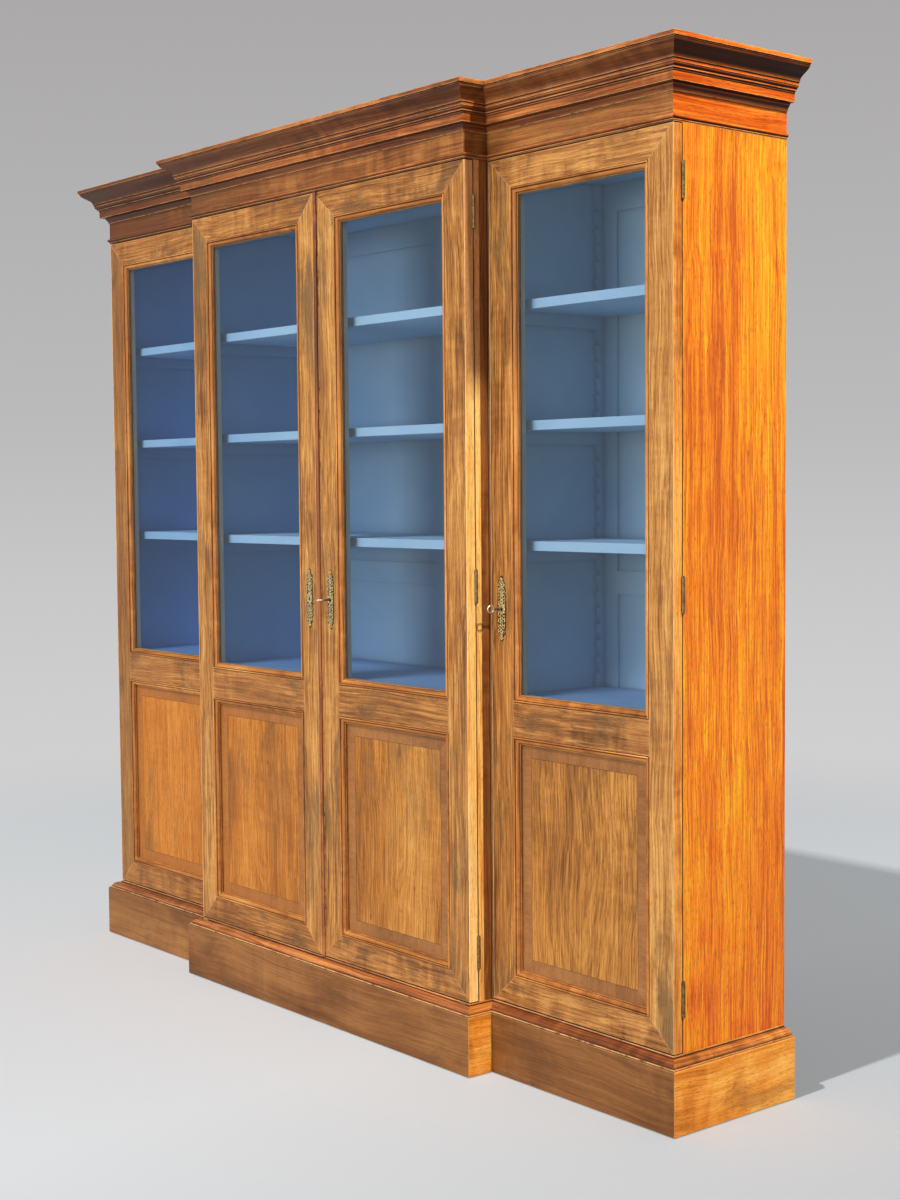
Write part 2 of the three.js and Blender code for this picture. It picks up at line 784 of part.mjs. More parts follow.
// Bead planted down the meeting edge of the right centre door
function meetingBead(freeX) {
  const innerX = freeX - meetingBeadWidth;
  const filletY = doorFrontY - meetingBeadRise;
  const round = halfRound(meetingBeadWidth - 2 * meetingBeadFillet, meetingBeadProjection - meetingBeadRise);
  return boardLevel([
    [innerX, doorFrontY + embed], [innerX, filletY],
    ...round.map(([along, proud]) => [innerX + meetingBeadFillet + along, filletY - proud]),
    [freeX, filletY], [freeX, doorFrontY + embed],
  ], 0, doorHeight);
}

// Heights of a slide bolt's lower end at rest, inside the left centre door
const topSlideBoltZ = topBoardUnderZ - slideBoltEndGap - slideBoltLength - doorBottomZ;
const bottomSlideBoltZ = bottomBoardTopZ + slideBoltEndGap - doorBottomZ;
const slideBoltY = doorBackY + slideBoltStandoff;

// Plate and two guides that carry a slide bolt on the back of the door
function slideBoltGuides(freeX, z0) {
  const x = freeX - slideBoltInset;
  const low = z0 + guideInset;
  const high = z0 + slideBoltLength - guideInset;
  const base = block(
    [x - guidePlateWidth / 2, doorBackY - embed, low],
    [x + guidePlateWidth / 2, doorBackY + guidePlateThickness, high],
  );
  const guides = [low, high - guideHeight].map((z) => block(
    [x - guideWidth / 2, doorBackY, z], [x + guideWidth / 2, doorBackY + guideDepth, z + guideHeight],
  ));
  const bore = uprightRod(slideBoltRadius + guideClearance, x, slideBoltY, low - overrun, high + overrun, rodSides);
  return joined([base, ...guides]).subtract(bore);
}

function doorFrameGeometry(door) {
  const freeX = knuckleOutset + door.width;
  const outer = rectangle([knuckleOutset, 0], [freeX, doorHeight]);
  const holesInset = (inset) => openings.map((opening) => openingRectangle(door, opening, inset));
  const rebateY = doorFrontY + rebateDepth;
  const wood = [
    boardFacing(outer, doorFrontY, rebateY, holesInset(0)),
    boardFacing(outer, rebateY - embed, doorBackY, holesInset(mouldingWidth - rebateWidth)),
    ...openings.map((opening) => solidOf(
      mitredSweep(openingRectangle(door, opening, 0), mouldingOutline(), true)
        .applyMatrix4(drawnFromFront).translate(0, doorFrontY, 0),
    )),
  ];
  if (door.hasBead) wood.push(meetingBead(freeX));
  const cuts = hingeHeights.map(doorHingeRelief);
  const slotDepth = boltLength(door) + boltEdgeGap + boltMortiseClearance;
  cuts.push(boltSlot(freeX, door.hasBolt ? slotDepth : mortiseDepth));
  if (door.hasKey) cuts.push(...keyway(lockLine(door)));
  const fittings = hingeHeights.map(movingLeaf);
  if (door.hasSlideBolts) {
    fittings.push(slideBoltGuides(freeX, topSlideBoltZ), slideBoltGuides(freeX, bottomSlideBoltZ));
  }
  return geometryOf(joined([cutBy(joined(wood), cuts), ...fittings]));
}

// Pane or panel, lying in the rebate behind the moulding
function infillGeometry(door, opening, thickness) {
  const y = doorFrontY + rebateDepth + jointGap;
  const inset = mouldingWidth - rebateWidth + paneClearance;
  return geometryOf(boardFacing(openingRectangle(door, opening, inset), y, y + thickness));
}

// Pierced brass escutcheon: a lobed outline with paired piercings and a keyhole
function lobedOutline() {
  const right = Array.from({ length: outlineSteps + 1 }, (_, i) => {
    const share = 1 - (2 * i) / outlineSteps;
    const taper = Math.sqrt(Math.max(1 - Math.abs(share) ** 3, 0));
    const lobes = 1 - lobeShare + lobeShare * Math.cos(lobeWaves * Math.PI * share);
    return [(escutcheonWidth / 2) * taper * lobes, (escutcheonHeight / 2) * share];
  });
  const left = right.slice(1, -1).reverse().map(([x, z]) => [-x, z]);
  return [...right, ...left].reverse();
}

function circle(x, z, radius, sides) {
  return Array.from({ length: sides }, (_, i) => {
    const angle = (2 * Math.PI * i) / sides;
    return [x + radius * Math.cos(angle), z + radius * Math.sin(angle)];
  });
}

const lobeShare = 0.22;
const lobeWaves = 6;
const piercingHeightShares = [0.34, 0.66];

function escutcheonGeometry(door) {
  const piercings = piercingHeightShares.flatMap((share) => [-1, 1].flatMap((up) => (
    [-1, 1].map((side) => (
      circle(side * piercingSpread, up * share * escutcheonHeight / 2, piercingRadius, piercingSides))))));
  const keyhole = circle(0, 0, keyholeRadius, rodSides);
  const y = doorFrontY - jointGap;
  const piece = boardFacing(lobedOutline(), y - escutcheonThickness, y, [keyhole, ...piercings]);
  return geometryOf(piece).translate(lockLine(door), 0, lockZ);
}

// Key with its bit in the chamber of the lock, turned from straight up; z = 0 is its line
function keyGeometry(bitTurn) {
  const bowY = doorFrontY - keyProjection + keyBowRadius;
  const tipY = doorFrontY + lockCavityStart + keyBitLength + embed;
  const collarY = doorFrontY - keyCollarStandoff;
  const bow = boardAcross(
    circle(bowY, 0, keyBowRadius, boreSides), -keyBowThickness / 2, keyBowThickness / 2,
  ).subtract(boardAcross(circle(bowY, 0, keyBowHoleRadius, rodSides), -keyBowThickness, keyBowThickness));
  const bitY = doorFrontY + lockCavityStart + embed;
  const key = joined([
    bow,
    levelRod(keyShankRadius, 0, 0, bowY + keyBowRadius - embed, tipY, rodSides),
    levelRod(keyCollarRadius, 0, 0, collarY - keyCollarLength, collarY, rodSides),
    block([-keyBitThickness / 2, bitY, 0], [keyBitThickness / 2, bitY + keyBitLength - embed, keyBitRadius]),
  ]);
  return geometryOf(key).rotateY(bitTurn);
}

// Lock bolt, drawn with its head at x = 0 and its middle at y = 0, z = 0
function lockBoltGeometry(door) {
  const bolt = block(
    [-boltLength(door), -boltThickness / 2, -boltHeight / 2], [0, boltThickness / 2, boltHeight / 2],
  );
  return geometryOf(bolt);
}

// Slide bolt with its knob; z = 0 is its lower end
function slideBoltGeometry() {
  const middle = slideBoltLength / 2;
  return geometryOf(joined([
    uprightRod(slideBoltRadius, 0, 0, 0, slideBoltLength, rodSides),
    levelRod(slideBoltKnobRadius, 0, middle, 0, slideBoltRadius + slideBoltKnobLength, rodSides),
  ]));
}

// The four doors; hand is -1 for a door hinged on the left and +1 for its mirror image
const doors = [
  {
    name: 'left_wing', hand: -1, x: -(halfWidth + knuckleOutset), edgeY: wingEdgeY,
    width: wingDoorWidth, lockStile: wingLockStile, lockInset: wingLockInset, hasBolt: true,
  },
  {
    name: 'left_centre', hand: -1, x: -(halfCentre + knuckleOutset), edgeY: centreEdgeY,
    width: leftCentreDoorWidth, lockStile: meetingStile - meetingOffset - meetingGap / 2,
    lockInset: leftLockInset, hasSlideBolts: true,
  },
  {
    name: 'right_centre', hand: 1, x: halfCentre + knuckleOutset, edgeY: centreEdgeY,
    width: rightCentreDoorWidth, lockStile: meetingStile + meetingOffset - meetingGap / 2,
    lockInset: rightLockInset, hasBolt: true, hasKey: true, bitTurn: -Math.PI / 2, hasBead: true,
  },
  {
    name: 'right_wing', hand: 1, x: halfWidth + knuckleOutset, edgeY: wingEdgeY,
    width: wingDoorWidth, lockStile: wingLockStile, lockInset: wingLockInset, hasBolt: true,
    hasKey: true, bitTurn: Math.PI,
  },
];

const bookcaseGroup = new THREE.Group();

function place(parent, name, geometry, finish, x = 0, y = 0, z = 0) {
  const mesh = new THREE.Mesh(geometry, finish);
  mesh.name = name;
  mesh.position.set(x, y, z);
  parent.add(mesh);
  return mesh;
}

// Carcass
const rightSide = geometryOf(rightSideSolid());
const rightPartition = geometryOf(rightPartitionSolid());
place(bookcaseGroup, 'plinth', geometryOf(plinthSolid()), mahogany);
place(bookcaseGroup, 'bottom_board', geometryOf(bottomBoardSolid()), bluePaint);
place(bookcaseGroup, 'top_board', geometryOf(topBoardSolid()), bluePaint);
place(bookcaseGroup, 'right_side', rightSide, mahogany);
place(bookcaseGroup, 'left_side', mirrored(rightSide), mahogany);
place(bookcaseGroup, 'right_partition', rightPartition, mahogany);
place(bookcaseGroup, 'left_partition', mirrored(rightPartition), mahogany);
place(bookcaseGroup, 'back_panelling', geometryOf(backSolid()), bluePaint);
place(bookcaseGroup, 'frieze', geometryOf(friezeSolid()), mahogany);
place(bookcaseGroup, 'cornice_moulding', geometryOf(corniceSolid()), redMahogany);

// Shelves of the three compartments
const compartments = [
  { name: 'left', x0: -sideInnerX, x1: -wingInnerX, edgeY: wingEdgeY },
  { name: 'centre', x0: -partitionInnerX, x1: partitionInnerX, edgeY: centreEdgeY },
  { name: 'right', x0: wingInnerX, x1: sideInnerX, edgeY: wingEdgeY },
];
compartments.forEach(({ name, x0, x1, edgeY }) => {
  const middle = geometryOf(middleBoardSolid(x0, x1, edgeY));
  place(bookcaseGroup, `${name}_middle_board`, middle, bluePaint, 0, 0, middleBoardUnderZ);
  const notched = geometryOf(shelfSolid(x0, x1, edgeY));
  const plain = geometryOf(lowerShelfSolid(x0, x1, edgeY));
  place(bookcaseGroup, `${name}_lower_shelf`, plain, bluePaint, 0, 0, lowerShelfHeight);
  shelfTeeth.forEach((tooth, i) => {
    place(bookcaseGroup, `${name}_shelf_${i + 1}`, notched, bluePaint, 0, 0, shelfZ(tooth));
  });
});

// Doors with what they carry, and the fixed halves of their hinges
doors.forEach((door) => {
  const turned = (geometry) => (door.hand > 0 ? mirrored(geometry) : geometry);
  const axisY = door.edgeY - seamGap / 2;
  const leafGroup = new THREE.Group();
  leafGroup.position.set(door.x, axisY, doorBottomZ);
  bookcaseGroup.add(leafGroup);
  const mirrorX = -door.hand;
  place(leafGroup, `${door.name}_door_frame`, turned(doorFrameGeometry(door)), mahogany);
  place(leafGroup, `${door.name}_door_panel`, turned(infillGeometry(door, openings[0], panelThickness)), mahogany);
  place(leafGroup, `${door.name}_door_glass`, turned(infillGeometry(door, openings[1], glassThickness)), glass);
  place(leafGroup, `${door.name}_escutcheon`, turned(escutcheonGeometry(door)), brass);
  const freeX = knuckleOutset + door.width;
  if (door.hasBolt) {
    place(leafGroup, `${door.name}_lock_bolt`, turned(lockBoltGeometry(door)), steel,
      mirrorX * (freeX - boltEdgeGap), doorFrontY + boltSetback, lockZ + boltRise);
  }
  if (door.hasKey) {
    place(leafGroup, `${door.name}_key`, turned(keyGeometry(door.bitTurn)), steel,
      mirrorX * lockLine(door), 0, lockZ);
  }
  if (door.hasSlideBolts) {
    [['top', topSlideBoltZ], ['bottom', bottomSlideBoltZ]].forEach(([end, z]) => {
      place(leafGroup, `${end}_slide_bolt`, slideBoltGeometry(), brass, freeX - slideBoltInset, slideBoltY, z);
    });
  }
  const fixedLeaf = turned(geometryOf(fixedLeafSolid()));
  hingeHeights.forEach((height, i) => {
    place(bookcaseGroup, `${door.name}_hinge_${hingeNames[i]}`, fixedLeaf, brass,
      door.x, axisY, doorBottomZ + height);
  });
});

export default bookcaseGroup;
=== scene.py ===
"""Looks of the four-door breakfront bookcase: figured mahogany, blue paint, old glass and brass.

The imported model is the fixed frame. Door frames, mouldings, veneers, hinges, keys and
escutcheons are made here in finer form over the solids that they stand for.
"""

from __future__ import annotations

import functools
import logging
import math
from dataclasses import dataclass, field
from enum import Enum
from typing import Any, Mapping, Sequence

import bmesh
import bpy
import numpy as np
from mathutils import Matrix, Vector


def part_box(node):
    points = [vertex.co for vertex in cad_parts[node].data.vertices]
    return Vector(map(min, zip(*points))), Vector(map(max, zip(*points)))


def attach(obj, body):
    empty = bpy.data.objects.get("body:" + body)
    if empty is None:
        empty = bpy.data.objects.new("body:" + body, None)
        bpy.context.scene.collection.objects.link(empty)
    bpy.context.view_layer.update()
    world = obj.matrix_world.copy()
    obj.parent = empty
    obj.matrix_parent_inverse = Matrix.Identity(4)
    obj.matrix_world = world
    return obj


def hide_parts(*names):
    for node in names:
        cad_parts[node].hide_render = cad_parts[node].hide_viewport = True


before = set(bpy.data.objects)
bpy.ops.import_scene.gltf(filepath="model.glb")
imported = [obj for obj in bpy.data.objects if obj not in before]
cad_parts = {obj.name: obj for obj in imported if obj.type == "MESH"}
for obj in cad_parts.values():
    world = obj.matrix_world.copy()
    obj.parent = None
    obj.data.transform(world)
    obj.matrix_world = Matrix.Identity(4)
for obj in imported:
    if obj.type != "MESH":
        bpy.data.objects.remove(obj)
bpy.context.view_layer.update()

LOG = logging.getLogger("bookcase")
Socket = bpy.types.NodeSocket
Colour = tuple[float, float, float]
Point = tuple[float, float]
Opening = tuple[float, float, float, float]
MM = 0.001
TALLEST = 2.4
UP = (0.0, 0.0, 1.0)
TOWARDS_FRONT = (0.0, -1.0, 0.0)
TOWARDS_BACK = (0.0, 1.0, 0.0)
SIDES = ((-1, "left"), (1, "right"))


def srgb(red: int, green: int, blue: int) -> Colour:
    """Turns a display colour of 0 to 255 into the linear colour that a shader takes.

    Args:
        red: Red, 0 to 255.
        green: Green, 0 to 255.
        blue: Blue, 0 to 255.

    Returns:
        The linear colour.
    """
    share = np.array([red, green, blue]) / 255.0
    linear = np.where(share <= 0.04045, share / 12.92, ((share + 0.055) / 1.055) ** 2.4)
    return tuple(float(value) for value in linear)


# Shapes: every shell is a stack of rings, computed as whole arrays
def mitred_rings(path: np.ndarray, up: Sequence[float], profile: np.ndarray, closed: bool) -> np.ndarray:
    """Carries a profile along a flat path with mitred corners.

    A ring stands at each corner: corner + mitre * out + up * height, where the mitre is the sum
    of the outward normals of the two runs, divided by one plus their dot product.

    Args:
        path: Corners of the path, N by 3.
        up: Unit vector square to the plane of the path.
        profile: M by 2 points, out to the right of the way the path runs, and up.
        closed: Whether the last corner joins the first.

    Returns:
        Rings, N by M by 3.
    """
    up_vector = np.asarray(up, dtype=float)
    along = np.roll(path, -1, axis=0) - path
    along /= np.maximum(np.linalg.norm(along, axis=1, keepdims=True), 1e-12)
    if not closed:
        along[-1] = along[-2]
    outward = np.cross(along, up_vector)
    before = np.roll(outward, 1, axis=0)
    if not closed:
        before[0] = outward[0]
    mitre = (before + outward) / (1.0 + np.sum(before * outward, axis=1, keepdims=True))
    return path[:, None, :] + mitre[:, None, :] * profile[None, :, :1] + up_vector * profile[None, :, 1:]


def inward_turns(rings: np.ndarray) -> np.ndarray:
    """Gives how far each ring turns inwards at each of its points, in quarter turns.

    The turn is the arc tangent of the length of the cross product of the steps before and after
    the point, signed along the run, over their dot product; its sign is set so that the turns
    of a whole ring sum to less than nothing.

    Args:
        rings: K by M by 3 places.

    Returns:
        K by M turns: above 0 in hollows, below 0 at arrises.
    """
    along = np.gradient(rings.mean(axis=1), axis=0)
    before, after = rings - np.roll(rings, 1, axis=1), np.roll(rings, -1, axis=1) - rings
    sine = np.einsum("kmx,kx->km", np.cross(before, after), along / np.linalg.norm(along, axis=1, keepdims=True))
    turn = np.arctan2(sine, np.einsum("kmx,kmx->km", before, after)) / (math.pi / 2.0)
    return -turn * np.sign(turn.sum(axis=1, keepdims=True))


def creased(rings: np.ndarray, reach: float) -> np.ndarray:
    """Adds a point at the reach on each side of every sharp corner of the rings.

    Args:
        rings: K by M by 3 places.
        reach: Distance of the new points from their corner, on steps long enough to hold them.

    Returns:
        The rings with more points, in the same shape.
    """
    steps = np.roll(rings, -1, axis=1) - rings
    share = reach / np.maximum(np.linalg.norm(steps, axis=2).max(axis=0), 1e-9)
    sharp = np.abs(inward_turns(rings)).max(axis=0) > 0.25
    near, far = rings + share[:, None] * steps, rings + (1.0 - share[:, None]) * steps
    fits = share < 0.45
    kept = np.stack([np.ones_like(fits), fits & sharp, fits & np.roll(sharp, -1)], axis=1)
    return np.stack([rings, near, far], axis=2)[:, kept]


def hollows(rings: np.ndarray, reach: float) -> np.ndarray:
    """Gives the depth of shade at each point: the strongest hollow near it, less its distance over the reach.

    Points near no hollow keep their own turn, so arrises stay below 0.

    Args:
        rings: K by M by 3 places.
        reach: How far a hollow's shade spreads round the ring.

    Returns:
        K by M values.
    """
    turn = inward_turns(rings)
    steps = np.linalg.norm(np.roll(rings, -1, axis=1) - rings, axis=2).max(axis=0)
    around = np.concatenate([[0.0], np.cumsum(steps)])
    apart = np.abs(around[:-1, None] - around[None, :-1])
    apart = np.minimum(apart, around[-1] - apart)
    spread = (np.clip(turn, 0.0, 1.0)[:, None, :] * np.clip(1.0 - apart / reach, 0.0, 1.0)).max(axis=2)
    return np.where(spread > 0.02, spread, turn)


def ring_shell(
    name: str, rings: np.ndarray, closed: bool = False, smooth_deg: float = 35.0, second_runs: Sequence[int] = (),
    crease: float = 0.0,
) -> bpy.types.Object:
    """Makes a closed shell from a stack of rings, with a UV map in metres.

    U is the distance along the run, as the dot product of the place with the run's direction,
    and V the distance round the ring, so that grain can follow each run.

    Args:
        name: Name of the piece.
        rings: K by M by 3 places; each ring is a closed loop of M points.
        closed: Whether the last ring joins the first. Otherwise both ends are capped.
        smooth_deg: Edges sharper than this stay sharp.
        second_runs: Runs whose faces take the second finish of the piece.
        crease: Reach of the painted shade lines along hollows and the painted highlight lines along arrises. None are
            marked at 0.

    Returns:
        The new object, linked to the scene.
    """
    if crease > 0.0:
        rings = creased(rings, crease)
    count, width = rings.shape[:2]
    runs = count if closed else count - 1
    k, j = np.meshgrid(np.arange(runs), np.arange(width), indexing="ij")
    k_next, j_next = (k + 1) % count, (j + 1) % width
    quads = np.stack([k * width + j, k_next * width + j, k_next * width + j_next, k * width + j_next], axis=-1)
    faces = quads.reshape(-1, 4).tolist()
    if not closed:
        faces.append(list(range(width)))
        faces.append(list(range((count - 1) * width, count * width))[::-1])
    mesh = bpy.data.meshes.new(name)
    mesh.from_pydata(rings.reshape(-1, 3).tolist(), [], faces)

    directions = (rings[(np.arange(runs) + 1) % count] - rings[:runs]).mean(axis=1)
    directions /= np.maximum(np.linalg.norm(directions, axis=1, keepdims=True), 1e-12)
    steps = np.linalg.norm(np.roll(rings, -1, axis=1) - rings, axis=2).max(axis=0)
    around = np.concatenate([[0.0], np.cumsum(steps)])
    flat = rings.reshape(-1, 3)
    u = np.einsum("kjcx,kx->kjc", flat[quads], directions) + 0.37 * np.arange(runs)[:, None, None]
    v = np.stack([around[j], around[j], around[j + 1], around[j + 1]], axis=-1)
    uv = np.stack([u, v], axis=-1).reshape(-1, 2)
    if not closed:
        ends = np.concatenate([rings[0], rings[-1][::-1]])
        uv = np.concatenate([uv, np.stack([ends[:, 0] + ends[:, 1], ends[:, 2]], axis=-1)])
    mesh.uv_layers.new(name="UVMap").data.foreach_set("uv", uv.astype(np.float32).ravel())
    if crease > 0.0:
        shade = mesh.attributes.new("hollow", "FLOAT", "POINT")
        shade.data.foreach_set("value", hollows(rings, crease).astype(np.float32).ravel())
    caps = [] if closed else [0, runs - 1]
    second = np.isin(np.concatenate([k.ravel(), caps]), second_runs)
    mesh.polygons.foreach_set("material_index", second.astype(np.int32))
    return finished(name, mesh, smooth_deg)


def finished(name: str, mesh: bpy.types.Mesh, smooth_deg: float) -> bpy.types.Object:
    """Merges doubles, turns faces outwards, sets the smoothing and links the object.

    Args:
        name: Name of the piece.
        mesh: Its mesh.
        smooth_deg: Edges sharper than this stay sharp.

    Returns:
        The object that holds the mesh.
    """
    shell = bmesh.new()
    shell.from_mesh(mesh)
    bmesh.ops.remove_doubles(shell, verts=shell.verts, dist=2e-6)
    bmesh.ops.dissolve_degenerate(shell, edges=shell.edges, dist=2e-6)
    bmesh.ops.recalc_face_normals(shell, faces=shell.faces)
    shell.to_mesh(mesh)
    shell.free()
    mesh.shade_smooth()
    mesh.set_sharp_from_angle(angle=math.radians(smooth_deg))
    piece = bpy.data.objects.new(name, mesh)
    bpy.context.scene.collection.objects.link(piece)
    return piece


def oblong(left: float, foot: float, right: float, top: float) -> list[Point]:
    """Gives the corners of an oblong, from the lower left one round to the upper left one."""
    return [(left, foot), (right, foot), (right, top), (left, top)]


def upright_rings(plan: np.ndarray, z0: float, z1: float) -> np.ndarray:
    """Stands a plan of X and Y points up between two heights, as two rings."""
    return np.stack([np.insert(plan, 2, z, axis=1) for z in (z0, z1)])


def slab(name: str, outline: Sequence[Point], y0: float, y1: float) -> bpy.types.Object:
    """Makes a board from an outline of X and Z points, between two depths."""
    return ring_shell(name, np.stack([np.insert(outline, 1, y, axis=1) for y in (y0, y1)]))


def box_shell(name: str, low: Sequence[float], high: Sequence[float]) -> bpy.types.Object:
    """Makes a small plate between two corners."""
    (x0, y0, z0), (x1, y1, z1) = low, high
    return slab(name, oblong(x0, z0, x1, z1), y0, y1)


def holed_strip(
    name: str, low: Sequence[float], high: Sequence[float], hole_low: Sequence[float], hole_high: Sequence[float],
) -> bpy.types.Object:
    """Makes a strip with an oblong hole right through it along X.

    Args:
        name: Name of the piece.
        low: Its lower corner.
        high: Its upper corner.
        hole_low: Lower Y and Z of the hole.
        hole_high: Upper Y and Z of the hole.

    Returns:
        The new object.
    """
    (x0, *foot), (x1, *top) = low, high
    outside, hole = oblong(*foot, *top), oblong(*hole_low, *hole_high)
    layers = ((x0, outside), (x1, outside), (x1, hole), (x0, hole))
    return ring_shell(name, np.stack([np.insert(corners, 0, x, axis=1) for x, corners in layers]), closed=True)


def turned(name: str, foot: Vector, axis: Vector, profile: Sequence[Point], sides: int = 40) -> bpy.types.Object:
    """Turns a profile about an axis.

    Each ring is foot + axis * along + radius * (cos t * side + sin t * other).

    Args:
        name: Name of the piece.
        foot: Where the profile starts.
        axis: Unit vector of the axis.
        profile: Pairs of distance along the axis and radius.
        sides: Points round each ring.

    Returns:
        The new object.
    """
    side = axis.orthogonal().normalized()
    other = axis.cross(side)
    angle = np.linspace(0.0, 2.0 * math.pi, sides, endpoint=False)
    circle = np.cos(angle)[:, None] * np.array(side) + np.sin(angle)[:, None] * np.array(other)
    steps = np.array(profile)
    centres = np.array(foot) + steps[:, :1] * np.array(axis)
    rings = centres[:, None, :] + steps[:, 1][:, None, None] * circle[None, :, :]
    return ring_shell(name, rings)


def arc(start: Point, end: Point, steps: int = 12) -> np.ndarray:
    """Gives a quarter of an ellipse: it leaves start along the second axis and reaches end along the first."""
    angle = np.linspace(0.0, math.pi / 2.0, steps)
    return np.column_stack([1.0 - np.cos(angle), np.sin(angle)]) * np.subtract(end, start) + start


def ogee(start: Point, end: Point, steps: int = 22) -> np.ndarray:
    """Gives an S curve: straight along the second axis, easing in and out as a cosine along the first."""
    share = np.linspace(0.0, 1.0, steps)
    return np.column_stack([(1.0 - np.cos(math.pi * share)) / 2.0, share]) * np.subtract(end, start) + start


def half_round(start: Point, span: float, rise: float, steps: int = 16) -> np.ndarray:
    """Gives half an ellipse that spans a distance along the first axis and rises along the second."""
    angle = np.linspace(0.0, math.pi, steps)
    return np.column_stack([(1.0 - np.cos(angle)) / 2.0, np.sin(angle)]) * (span, rise) + start


def eased(piece: bpy.types.Object, width: float) -> bpy.types.Object:
    """Rounds the sharp edges of a piece.

    Args:
        piece: The piece.
        width: Width of the rounding.

    Returns:
        The same piece.
    """
    bevel = piece.modifiers.new("eased edges", "BEVEL")
    bevel.width = width
    bevel.segments = 2
    bevel.limit_method = "ANGLE"
    bevel.angle_limit = math.radians(40.0)
    return piece


# Finishes
def opaque(value: Any) -> Any:
    """Adds full opacity to a colour, and leaves a socket or a number as it is."""
    return (*value, 1.0) if isinstance(value, tuple) else value


class Graph:
    """Builds the node tree of a material or of the world in few words."""

    def __init__(self, owner: bpy.types.Material | bpy.types.World) -> None:
        """Empties the tree of its owner.

        Args:
            owner: The material or world that the tree belongs to.
        """
        owner.use_nodes = True
        self.owner = owner
        self.tree = owner.node_tree
        self.tree.nodes.clear()

    @classmethod
    def of_material(cls, name: str) -> Graph:
        """Starts an empty material with that name."""
        return cls(bpy.data.materials.new(name))

    def node(self, kind: str, values: Mapping[Any, Any], **settings: Any) -> bpy.types.Node:
        """Adds a node.

        Args:
            kind: The node's type without its first word.
            values: Input name or number, to a socket to link or a value to set.
            settings: Properties of the node.

        Returns:
            The node.
        """
        made = self.tree.nodes.new("ShaderNode" + kind)
        for key, value in settings.items():
            setattr(made, key, value)
        for key, value in values.items():
            if isinstance(value, Socket):
                self.tree.links.new(value, made.inputs[key])
            else:
                made.inputs[key].default_value = value
        return made

    def place(self, use_uv: bool = False) -> Socket:
        """Gives the place on the piece, as Object coordinates or its UV map."""
        return self.node("TexCoord", {}).outputs["UV" if use_uv else "Object"]

    def axis(self, place: Socket, name: str) -> Socket:
        """Gives one coordinate of a place."""
        return self.node("SeparateXYZ", {"Vector": place}).outputs[name]

    def stretched(self, place: Socket, scale: Sequence[float], shift: float) -> Socket:
        """Scales a place axis by axis and shifts it."""
        values = {"Vector": place, "Scale": tuple(scale), "Location": (shift, shift * 0.7, shift * 1.3)}
        return self.node("Mapping", values).outputs[0]

    def noise(self, place: Socket, scale: float, detail: float, rough: float = 0.5, twist: float = 0.0) -> Socket:
        """Gives noise of 0 to 1 about 0.5."""
        values = {"Vector": place, "Scale": scale, "Detail": detail, "Roughness": rough, "Distortion": twist}
        return self.node("TexNoise", values).outputs["Fac"]

    def streaks(
        self, place: Socket, scale: Sequence[float], shift: float, detail: float, rough: float = 0.5,
        twist: float = 0.0,
    ) -> Socket:
        """Gives noise with a scale of its own on each axis."""
        return self.noise(self.stretched(place, scale, shift), 1.0, detail, rough, twist)

    def math(self, operation: str, *values: Any, clamp: bool = False) -> Socket:
        """Adds a maths node on up to three values."""
        return self.node("Math", dict(enumerate(values)), operation=operation, use_clamp=clamp).outputs[0]

    def times(self, first: Any, second: Any) -> Socket:
        """Multiplies two values."""
        return self.math("MULTIPLY", first, second)

    def warped(self, place: Socket, scale: float, reach: float) -> Socket:
        """Moves each place by slow noise, so that straight grain wanders.

        Args:
            place: The places.
            scale: Scale of the noise.
            reach: Twice the furthest move each way.

        Returns:
            The moved places.
        """
        cloud = self.node("TexNoise", {"Vector": place, "Scale": scale, "Detail": 2.0}).outputs["Color"]
        centred = self.node("VectorMath", {0: cloud, 1: (0.5, 0.5, 0.5)}, operation="SUBTRACT").outputs[0]
        moved = self.node("VectorMath", {0: centred, "Scale": reach}, operation="SCALE").outputs[0]
        return self.node("VectorMath", {0: place, 1: moved}, operation="ADD").outputs[0]

    def share(self, value: Socket, low: float, high: float) -> Socket:
        """Maps a value from low to high onto 0 to 1, evenly."""
        return self.node("MapRange", {"Value": value, "From Min": low, "From Max": high}).outputs[0]

    def band(self, value: Socket, low: float, high: float) -> Socket:
        """Maps a value from low to high onto 0 to 1, eased."""
        values = {"Value": value, "From Min": low, "From Max": high}
        return self.node("MapRange", values, interpolation_type="SMOOTHSTEP").outputs[0]

    def ramp(self, value: Socket, stops: Sequence[tuple[float, Colour]]) -> Socket:
        """Gives a colour from a value.

        Args:
            value: A value of 0 to 1.
            stops: Pairs of value and colour, between which the colour runs evenly.

        Returns:
            The colour.
        """
        made = self.node("ValToRGB", {"Fac": value})
        elements = made.color_ramp.elements
        while len(elements) < len(stops):
            elements.new(0.5)
        for element, (place, colour) in zip(elements, stops):
            element.position = place
            element.color = (*colour, 1.0)
        return made.outputs["Color"]

    def mix(self, share: Any, first: Any, second: Any, blend: str = "MIX") -> Socket:
        """Mixes two colours, each a socket or a tuple, by the share of the second."""
        values = {0: share, 6: opaque(first), 7: opaque(second)}
        return self.node("Mix", values, data_type="RGBA", blend_type=blend).outputs[2]

    def tinted(self, colour: Socket, share: Socket, weight: float, tone: Colour) -> Socket:
        """Mixes a tone into a colour by a share times a weight."""
        return self.mix(self.times(share, weight), colour, tone)

    def crevice(self, distance: float) -> Socket:
        """Gives 0 in tight corners and 1 in the open."""
        return self.node("AmbientOcclusion", {"Distance": distance}, samples=6).outputs["AO"]

    def arris(self, distance: float) -> Socket:
        """Gives 1 at outward edges and 0 on flats."""
        inside = self.node("AmbientOcclusion", {"Distance": distance}, samples=4, inside=True, only_local=True)
        return self.math("SUBTRACT", 1.0, inside.outputs["AO"], clamp=True)

